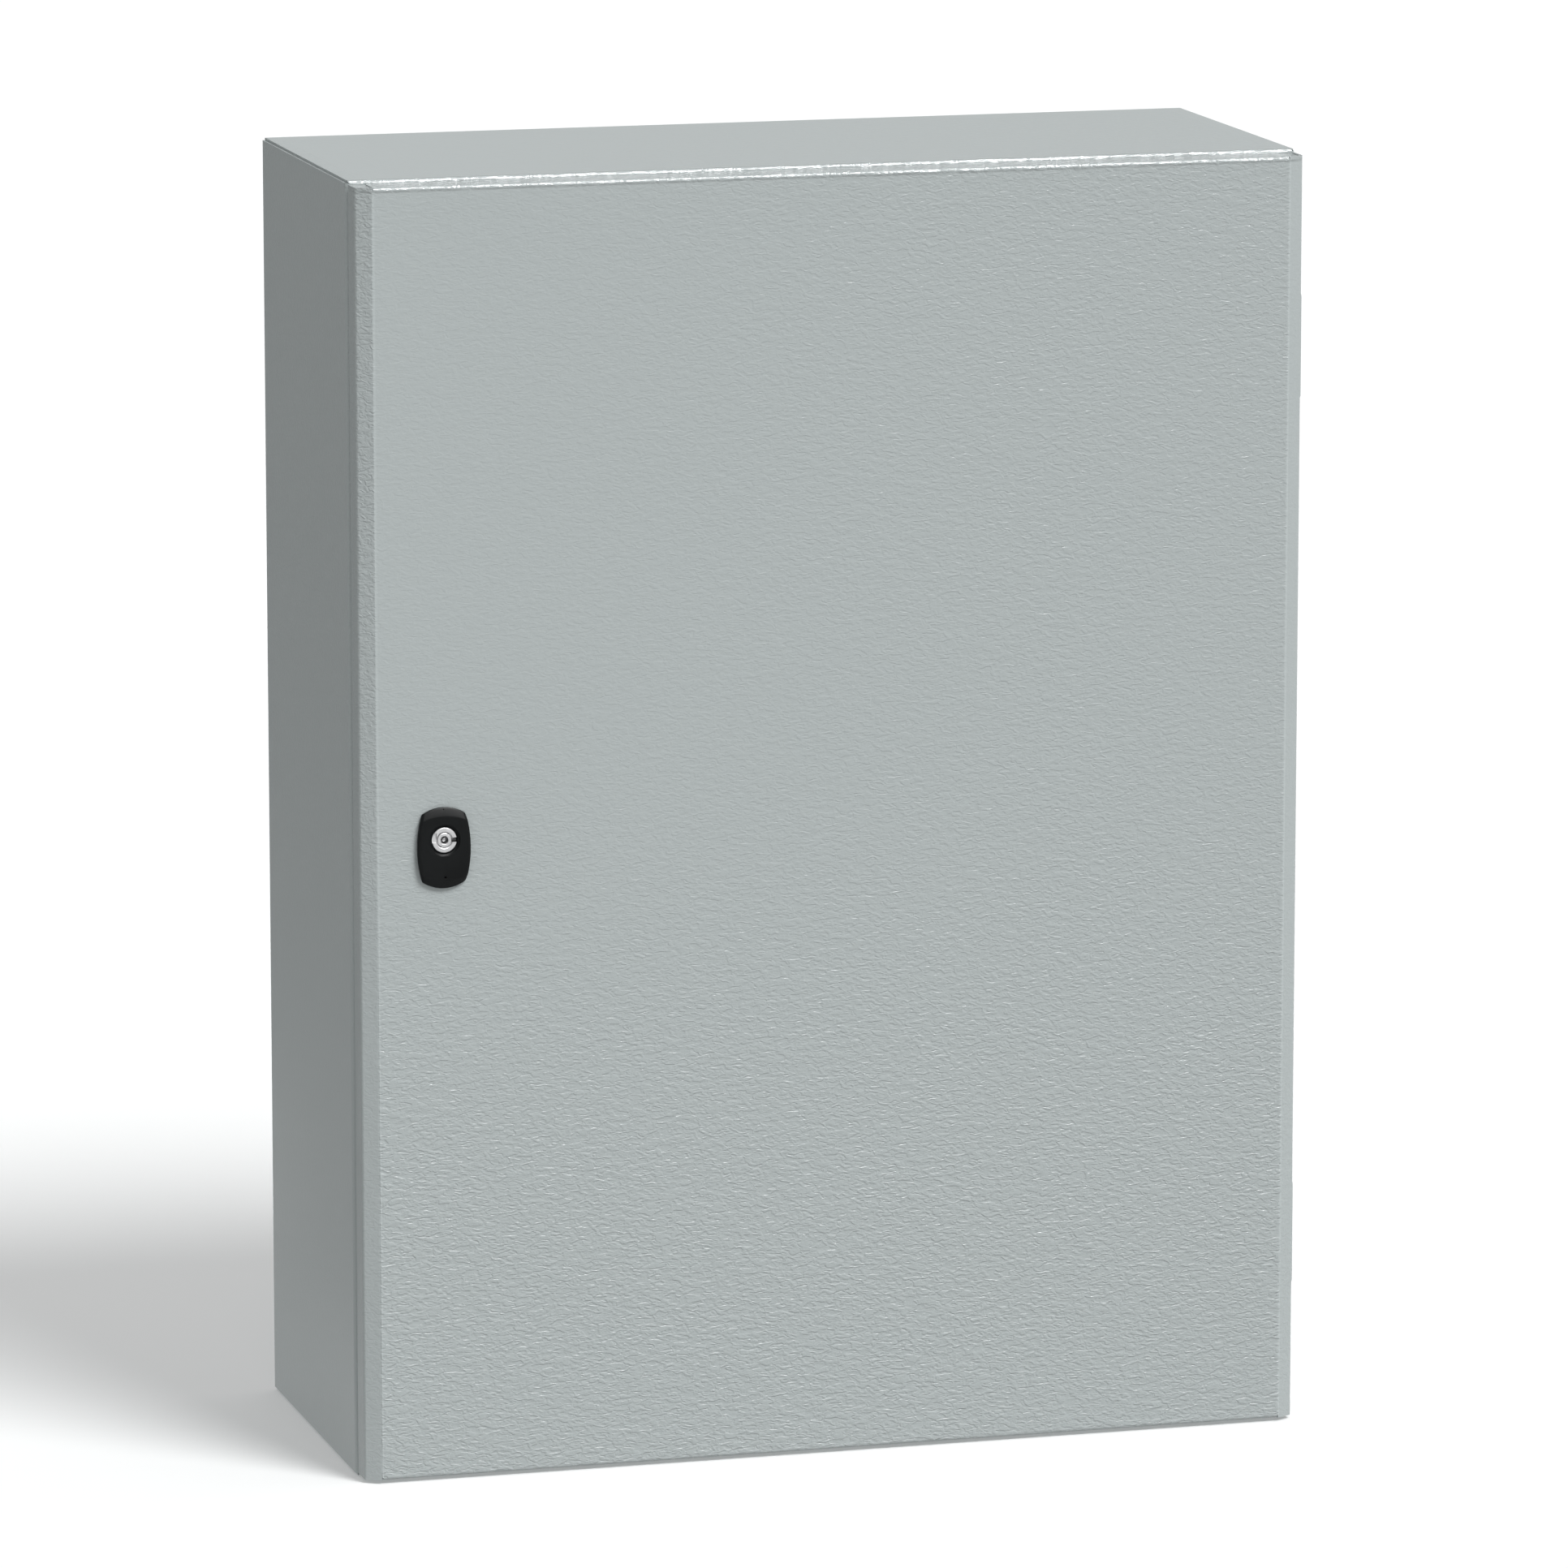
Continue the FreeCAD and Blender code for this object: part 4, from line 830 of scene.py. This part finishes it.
def frame_ring(name, outline, width, corner, depth, crown, dent):
    """A closed ring with rounded corners; the middle of its far face is moved by dent."""
    (left, right), (low, high) = outline
    piece = begin(name, "plane", size=1)
    bpy.ops.transform.resize(value=(right - left, high - low, 1))
    bpy.ops.transform.translate(value=((left + right) / 2, (low + high) / 2, 0))
    bpy.ops.mesh.bevel(offset=corner, segments=6, affect="VERTICES")
    bpy.context.tool_settings.mesh_select_mode = (False, False, True)
    bpy.ops.mesh.select_all(action="SELECT")
    bpy.ops.mesh.inset(thickness=width)
    bpy.ops.mesh.delete(type="FACE")
    bpy.ops.mesh.select_all(action="SELECT")
    pull((0, 0, depth))
    bpy.ops.mesh.inset(thickness=width * 0.36)
    bpy.ops.transform.translate(value=(0, 0, dent))
    outward(piece)
    soften(piece, crown, 5, 40)
    return piece


def stand_up(piece, start):
    """Turn a piece drawn flat on x and y so that its y is up and its height runs along -Y."""
    activate(piece)
    piece.rotation_euler, piece.location = (math.pi / 2, 0, 0), (0, start, 0)
    bpy.ops.object.transform_apply(location=True, rotation=True, scale=True)
    return piece


def gland_outline(lap):
    """The gland opening's spans on x and y, grown by a lap."""
    return ((-GLAND_X - lap, GLAND_X + lap), (MIDDLE - GLAND_Y - lap, MIDDLE + GLAND_Y + lap))


def gland_spots():
    """The places of the gland plate's studs, in the middle of its lap."""
    x, y = GLAND_X + GLAND_LAP / 2, GLAND_Y + GLAND_LAP / 2
    return [(side * x * part, MIDDLE + turn * y) for part in (1, 1 / 3) for side in (-1, 1)
            for turn in (-1, 1)]


def make_seals():
    half = 0.005
    outline = ((OPEN_LEFT - WALL / 2 - half, OPEN_RIGHT + WALL / 2 + half),
               (OPEN_LOW - WALL / 2 - half, OPEN_HIGH + WALL / 2 + half))
    depth = RIM_FRONT - 0.0003 - INNER
    seal = frame_ring("foam_door_seal", outline, 2 * half, 0.006, -depth, 0.003, 0.0008)
    hand_over(stand_up(seal, INNER), "door", "foam_seal", "door_gasket")
    pad = flat_plate("gland_seal", *gland_outline(GLAND_LAP), (WALL, WALL + GLAND_SEAL), 2, 0.004)
    through = (0, 0.006)
    cut_away(pad, flat_plate("window", *gland_outline(0), through, 2, 0.006))
    for spot in sorted(gland_spots()):
        cut_away(pad, rod_tool("hole", 2, spot, through, 0.0031, 24))
    soften(pad, 0)
    hand_over(pad, "enclosure", "black_rubber", "gland_plate_gasket")


# ---- plates, studs and nuts ----

def place_copies(name, piece, axis, spots, start, body, node, slot="zinc_fasteners"):
    """Stand a copy of a small part at each spot, in place of a node."""
    hand_over(copies(name, piece, axis, spots, start), body, slot, node)


def flat_plate(name, x, y, z, axis, corner, holes=()):
    """A plate with rounded corners, thin along an axis, bored at the holes."""
    piece = box_tool(name, x, y, z)
    open_up(piece)
    pick("edges", lambda at, edge: along(edge, axis))
    bpy.ops.mesh.bevel(offset=corner, segments=6, affect="EDGES")
    rest()
    low, high = (x, y, z)[axis]
    for *spot, radius in holes:
        cut_away(piece, rod_tool("hole", axis, spot, (low - 0.002, high + 0.002), radius, 32))
    soften(piece, 0.0003)
    return piece


def make_plates():
    glands = gland_spots()
    low = WALL + GLAND_SEAL
    plate = flat_plate("gland_cover", *gland_outline(GLAND_LAP), (low, low + WALL), 2, 0.004,
                       [(*spot, 0.0035) for spot in glands])
    hand_over(plate, "enclosure", "body_paint", "gland_plate")
    rear = BACK - WALL - PLATE_STAND
    front = rear - PLATE_DEPTH
    plates = [(side * 0.245, z) for side in (-1, 1) for z in (0.0525, 0.7475)]
    plate = flat_plate("device_plate", (-0.265, 0.265), (front, rear), (0.0325, 0.7675), 1, 0.006,
                       [(*spot, 0.0045) for spot in plates])
    hand_over(plate, "enclosure", "galvanised_steel", "mounting_plate")
    washer_front = front - M8_WASHER_DEPTH
    nut_front = washer_front - M8_NUT_HEIGHT
    fasten = [
        ("gland_stud_threads", thread(M6, 0.007 + low), 2, glands, WALL, "gland_plate_studs"),
        ("gland_cover_nuts", nut(M6_NUT, M6_NUT_HEIGHT, M6), 2, glands, low + WALL,
         "gland_plate_nuts"),
        ("plate_stud_threads", thread(M8, BACK - WALL - nut_front + 0.004, M8_PITCH), 1, plates,
         BACK - WALL, "mounting_studs"),
        ("plate_sleeves", ring("sleeve", M8, 0.007, 0, PLATE_STAND, 0.0004), 1, plates, rear,
         "plate_spacers"),
        ("plate_washer_rings", m8_washer(), 1, plates, washer_front, "plate_washers"),
        ("plate_hex_nuts", m8_nut(), 1, plates, nut_front, "plate_nuts"),
    ]
    for name, piece, axis, spots, start, node in fasten:
        if name == "plate_stud_threads":
            flip(piece)
        elif name in ("plate_sleeves", "plate_washer_rings"):
            soften(piece, 0)
        place_copies(name, piece, axis, spots, start, "enclosure", node)
    earth_point("enclosure", "body", ("earth_stud_thread", "earth_washer_ring", "earth_hex_nut"),
                0, (BACK - 0.045, EARTH_LEVEL), SIDE - WALL, -1)
    earth_point("door", "door", ("door_earth_thread", "door_earth_ring", "door_earth_hex_nut"),
                1, (0.17, EARTH_LEVEL), INNER, 1)


def earth_point(body, word, names, axis, spot, wall, way):
    """Stud, washer and nut that stand on a wall; way is -1 where they point to lower values."""
    kit = [(thread(M8, 0.022, M8_PITCH), wall, "stud"), (m8_washer(), wall, "washer"),
           (m8_nut(), wall + way * M8_WASHER_DEPTH, "nut")]
    for name, (piece, start, part) in zip(names, kit):
        if way < 0:
            flip(piece)
        soften(piece, 0)
        place_copies(name, piece, axis, [spot], start, body, f"{word}_earth_{part}")


# ---- hinges ----

def make_hinges():
    for word in ("lower", "upper"):
        carry_over(f"{word}_bracket", f"hinge_bracket_{word}", 0.0005, "enclosure", "cast_zinc")
        carry_over(f"{word}_leaf", f"hinge_leaf_{word}", 0.0004, "door", "cast_zinc")
        carry_over(f"{word}_hinge_pin", f"hinge_pin_{word}", 0.0003, "enclosure", "bright_pins")
    foot = OPEN_RIGHT + WALL + 0.0045
    spots = [((foot + HINGE_X) / 2, z + turn * 0.02) for z in HINGE_LEVELS for turn in (-1, 1)]
    head = turned("flange", [(0, -SCREW_DEPTH), (M6, -SCREW_DEPTH), (M6, 0), (0.0056, 0),
                             (0.0056, 0.0006), (0, 0.0006)], 36)
    blank = hexagon_blank(M6_NUT, 0.0004, 0.004)
    tool = turned("tool", [(0, 0), (0.0059, 0), (0.0059, 0.0034), (0.0049, 0.004), (0, 0.004)], 36)
    cut_away(blank, tool, "INTERSECT")
    bolt = join(head, blank)
    soften(bolt, 0)
    place_copies("bracket_bolts", bolt, 1, spots, FRONT + WALL, "enclosure", "hinge_bracket_screws")
    leaf_left = OPEN_RIGHT + (WALL + 0.01) / 2 + 0.00125
    middle = (leaf_left + HINGE_X - 0.004) / 2
    level = 0.0223 + 0.0008 + M5_NUT      # half the bracket, a gap, the nut's radius
    spots = [(middle, z + turn * level) for z in HINGE_LEVELS for turn in (-1, 1)]
    place_copies("leaf_stud_threads", thread(M5, 0.008, 0.0008), 1, spots, INNER, "door",
                 "hinge_leaf_studs")
    place_copies("leaf_hex_nuts", nut(M5_NUT, M5_NUT_HEIGHT, M5), 1, spots, INNER + 0.0025, "door",
                 "hinge_leaf_nuts")
    carry_over("pin_clips", "hinge_pin_rings", 0.00015, "enclosure", "zinc_fasteners")


# ---- rods ----

def make_rods():
    for word, body in (("upper", "rod_up"), ("lower", "rod_down")):
        carry_over(f"{word}_lock_rod", f"{word}_rod", 0.0004, body, "zinc_plate")
        carry_over(f"{word}_rod_end", f"{word}_rod_shoe", 0.0009, body, "nylon_black", 3)
        for place in ("inner", "outer"):
            carry_over(f"{word}_{place}_guide", f"rod_guide_{word}_{place}", 0.0008, "door",
                       "nylon_black", 3)
    ear = INNER + RAIL_HEIGHT + 0.0025
    spots = [(-RAIL_X, LOCK_Z + way * far) for way in (1, -1) for far in (0.075, 0.3)]
    head = turned("head", [(0, -SCREW_DEPTH), (0.0024, -SCREW_DEPTH), (0.0024, 0), (0.0043, 0),
                           (0.0043, 0.0012), (0.0038, 0.0022), (0.0027, 0.0028), (0, 0.003)], 36)
    cut_away(head, hexagon_blank(0.0016, 0.0012, 0.004))
    soften(head, 0)
    place_copies("guide_button_screws", head, 1, spots, ear, "door", "rod_guide_screws")
    for word in ("left", "right"):
        carry_over(f"{word}_rail", f"door_rail_{word}", 0.0003, "door", "galvanised_steel")


# ---- carried-over nodes ----

def carry_over(name, node, width, body, slot, segments=2):
    """Replace a frame node by a merged copy of it whose edges are rounded."""
    piece = bpy.data.objects.new(name, frame["nodes"][node].data.copy())
    bpy.context.collection.objects.link(piece)
    piece.data.name = name
    open_up(piece)
    bpy.ops.mesh.remove_doubles(threshold=0.000002)
    bpy.ops.mesh.dissolve_limited(angle_limit=math.radians(0.5))
    bpy.ops.object.mode_set(mode="OBJECT")
    soften(piece, width, segments, 35)
    hand_over(piece, body, slot, node)


def finish_nodes():
    """Give every node of the frame that still shows the material of its slot."""
    for row in frame["record"]["subparts"]:
        node = frame["nodes"][row["node"]]
        node.data.materials.clear()
        node.data.materials.append(MATERIALS[row["material_slot"]])


# ---- stage ----

def add_lamp(name, kind, place, aim, power, **settings):
    """A lamp at a place, turned to face a point."""
    rest()
    bpy.ops.object.light_add(type=kind, location=place)
    lamp = bpy.context.object
    lamp.name = name
    lamp.rotation_euler = (Vector(aim) - Vector(place)).to_track_quat("-Z", "Y").to_euler()
    lamp.data.energy = power
    for key, value in settings.items():
        setattr(lamp.data, key, value)
    return lamp


def make_stage():
    """Camera, light, a white floor, and a dark panel that only reflections see."""
    scene = bpy.context.scene
    scene.view_settings.view_transform = "Standard"
    bpy.ops.object.camera_add(location=(-1.6039, -5.7397, 1.5155),
                              rotation=(math.radians(79.392), 0, math.radians(-15.62)))
    camera = bpy.context.object
    camera.data.lens, camera.data.sensor_width = 222.86, 36
    camera.data.clip_end = 100
    scene.camera = camera
    world = bpy.data.worlds.new("Studio")
    scene.world = world
    world.use_nodes = True
    background = world.node_tree.nodes["Background"]
    background.inputs["Color"].default_value = (1, 1, 1, 1)
    background.inputs["Strength"].default_value = 0.5
    add_lamp("sky", "SUN", (2.3, -3.8, 5.2), (0, 0, 0), 2.25, angle=math.radians(25))
    glint = add_lamp("strip", "AREA", (0.9, -1.1, 3.5), (0.05, -0.1, 0.8), 420, shape="RECTANGLE",
                     size=2.2, size_y=0.4)
    glint.visible_diffuse = False
    flag = begin("flag", "plane", size=1)
    bpy.ops.transform.resize(value=(1.6, 3.6, 1))
    bpy.ops.mesh.subdivide(number_cuts=1)
    rest()
    flag.rotation_euler, flag.location = (0, math.pi / 2, 0), (-0.46, 1.6, 0.8)
    flag.visible_camera = flag.visible_shadow = flag.visible_diffuse = False
    felt = Finish("Black felt", Roughness=1.0, Specular_IOR_Level=0.0)
    felt.set("Base Color", felt.mix(felt.noise(felt.place(), 50, 2.0), (0.19,) * 3, (0.22,) * 3))
    flag.data.materials.append(felt.material)
    floor = begin("floor", "plane", size=60, location=(0, 0, -0.0004))
    bpy.ops.mesh.subdivide(number_cuts=1)
    rest()
    floor.visible_diffuse = False
    ground = Finish("Stage floor", Roughness=0.9, Specular_IOR_Level=0.0)
    speck = ground.noise(ground.place(), 3.0, 2.0)
    base = tuple(colours().floor)
    ground.set("Base Color", ground.mix(speck, tint(base, 0.995), tint(base, 1.005)))
    ground.set("Emission Color", (1, 1, 1))
    ground.set("Emission Strength", 0.14)
    floor.data.materials.append(ground.material)


# ---- operators and panel ----

class CABINET_OT_materials(bpy.types.Operator):
    """Make the cabinet's paints, metals and plastics"""
    bl_idname = "cabinet.materials"
    bl_label = "Materials"

    def execute(self, context):
        make_materials()
        return {"FINISHED"}


class CABINET_OT_frame_nodes(bpy.types.Operator):
    """Put materials on the frame's own nodes"""
    bl_idname = "cabinet.frame_nodes"
    bl_label = "Frame nodes"

    def execute(self, context):
        finish_nodes()
        return {"FINISHED"}


class CABINET_OT_enclosure(bpy.types.Operator):
    """Fold the side, top, bottom and back sheets"""
    bl_idname = "cabinet.enclosure"
    bl_label = "Enclosure"

    def execute(self, context):
        make_enclosure()
        return {"FINISHED"}


class CABINET_OT_door(bpy.types.Operator):
    """Fold the door's sheet and close its corners"""
    bl_idname = "cabinet.door"
    bl_label = "Door"

    def execute(self, context):
        make_door()
        return {"FINISHED"}


class CABINET_OT_lock(bpy.types.Operator):
    """Shape the lock plate, insert, tongue and fittings"""
    bl_idname = "cabinet.lock"
    bl_label = "Lock"

    def execute(self, context):
        make_lock()
        return {"FINISHED"}


class CABINET_OT_seals(bpy.types.Operator):
    """Foam the door's seal and cut the gland plate's seal"""
    bl_idname = "cabinet.seals"
    bl_label = "Seals"

    def execute(self, context):
        make_seals()
        return {"FINISHED"}


class CABINET_OT_plates(bpy.types.Operator):
    """Make the plates with their studs, washers and nuts"""
    bl_idname = "cabinet.plates"
    bl_label = "Plates"

    def execute(self, context):
        make_plates()
        return {"FINISHED"}


class CABINET_OT_hinges(bpy.types.Operator):
    """Round the hinges and make their fasteners"""
    bl_idname = "cabinet.hinges"
    bl_label = "Hinges"

    def execute(self, context):
        make_hinges()
        return {"FINISHED"}


class CABINET_OT_rods(bpy.types.Operator):
    """Finish the locking rods, their guides and the rails"""
    bl_idname = "cabinet.rods"
    bl_label = "Rods"

    def execute(self, context):
        make_rods()
        return {"FINISHED"}


class CABINET_OT_stage(bpy.types.Operator):
    """Set the floor, lamps and camera"""
    bl_idname = "cabinet.stage"
    bl_label = "Stage"

    def execute(self, context):
        make_stage()
        return {"FINISHED"}


STEPS = [CABINET_OT_materials, CABINET_OT_frame_nodes, CABINET_OT_enclosure, CABINET_OT_door,
         CABINET_OT_lock, CABINET_OT_seals, CABINET_OT_plates, CABINET_OT_hinges, CABINET_OT_rods,
         CABINET_OT_stage]


class CABINET_PT_panel(bpy.types.Panel):
    """Lists the cabinet's sizes, colours and building steps"""
    bl_label = "Switchboard cabinet"
    bl_idname = "CABINET_PT_panel"
    bl_space_type = "VIEW_3D"
    bl_region_type = "UI"
    bl_category = "Cabinet"

    def draw(self, context):
        for group in (context.scene.cabinet_sizes, context.scene.cabinet_colours):
            for title in group.__annotations__:
                self.layout.prop(group, title)
        for step in STEPS:
            self.layout.operator(step.bl_idname)


CLASSES = [CabinetSizes, CabinetColours, *STEPS, CABINET_PT_panel]


def register():
    for item in CLASSES:
        bpy.utils.register_class(item)
    bpy.types.Scene.cabinet_sizes = bpy.props.PointerProperty(type=CabinetSizes)
    bpy.types.Scene.cabinet_colours = bpy.props.PointerProperty(type=CabinetColours)


def unregister():
    del bpy.types.Scene.cabinet_colours
    del bpy.types.Scene.cabinet_sizes
    for item in reversed(CLASSES):
        bpy.utils.unregister_class(item)


def main():
    register()
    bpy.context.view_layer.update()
    for step in STEPS:
        getattr(bpy.ops.cabinet, step.bl_idname.split(".")[1])()
    rest()


if __name__ == "__main__":
    main()
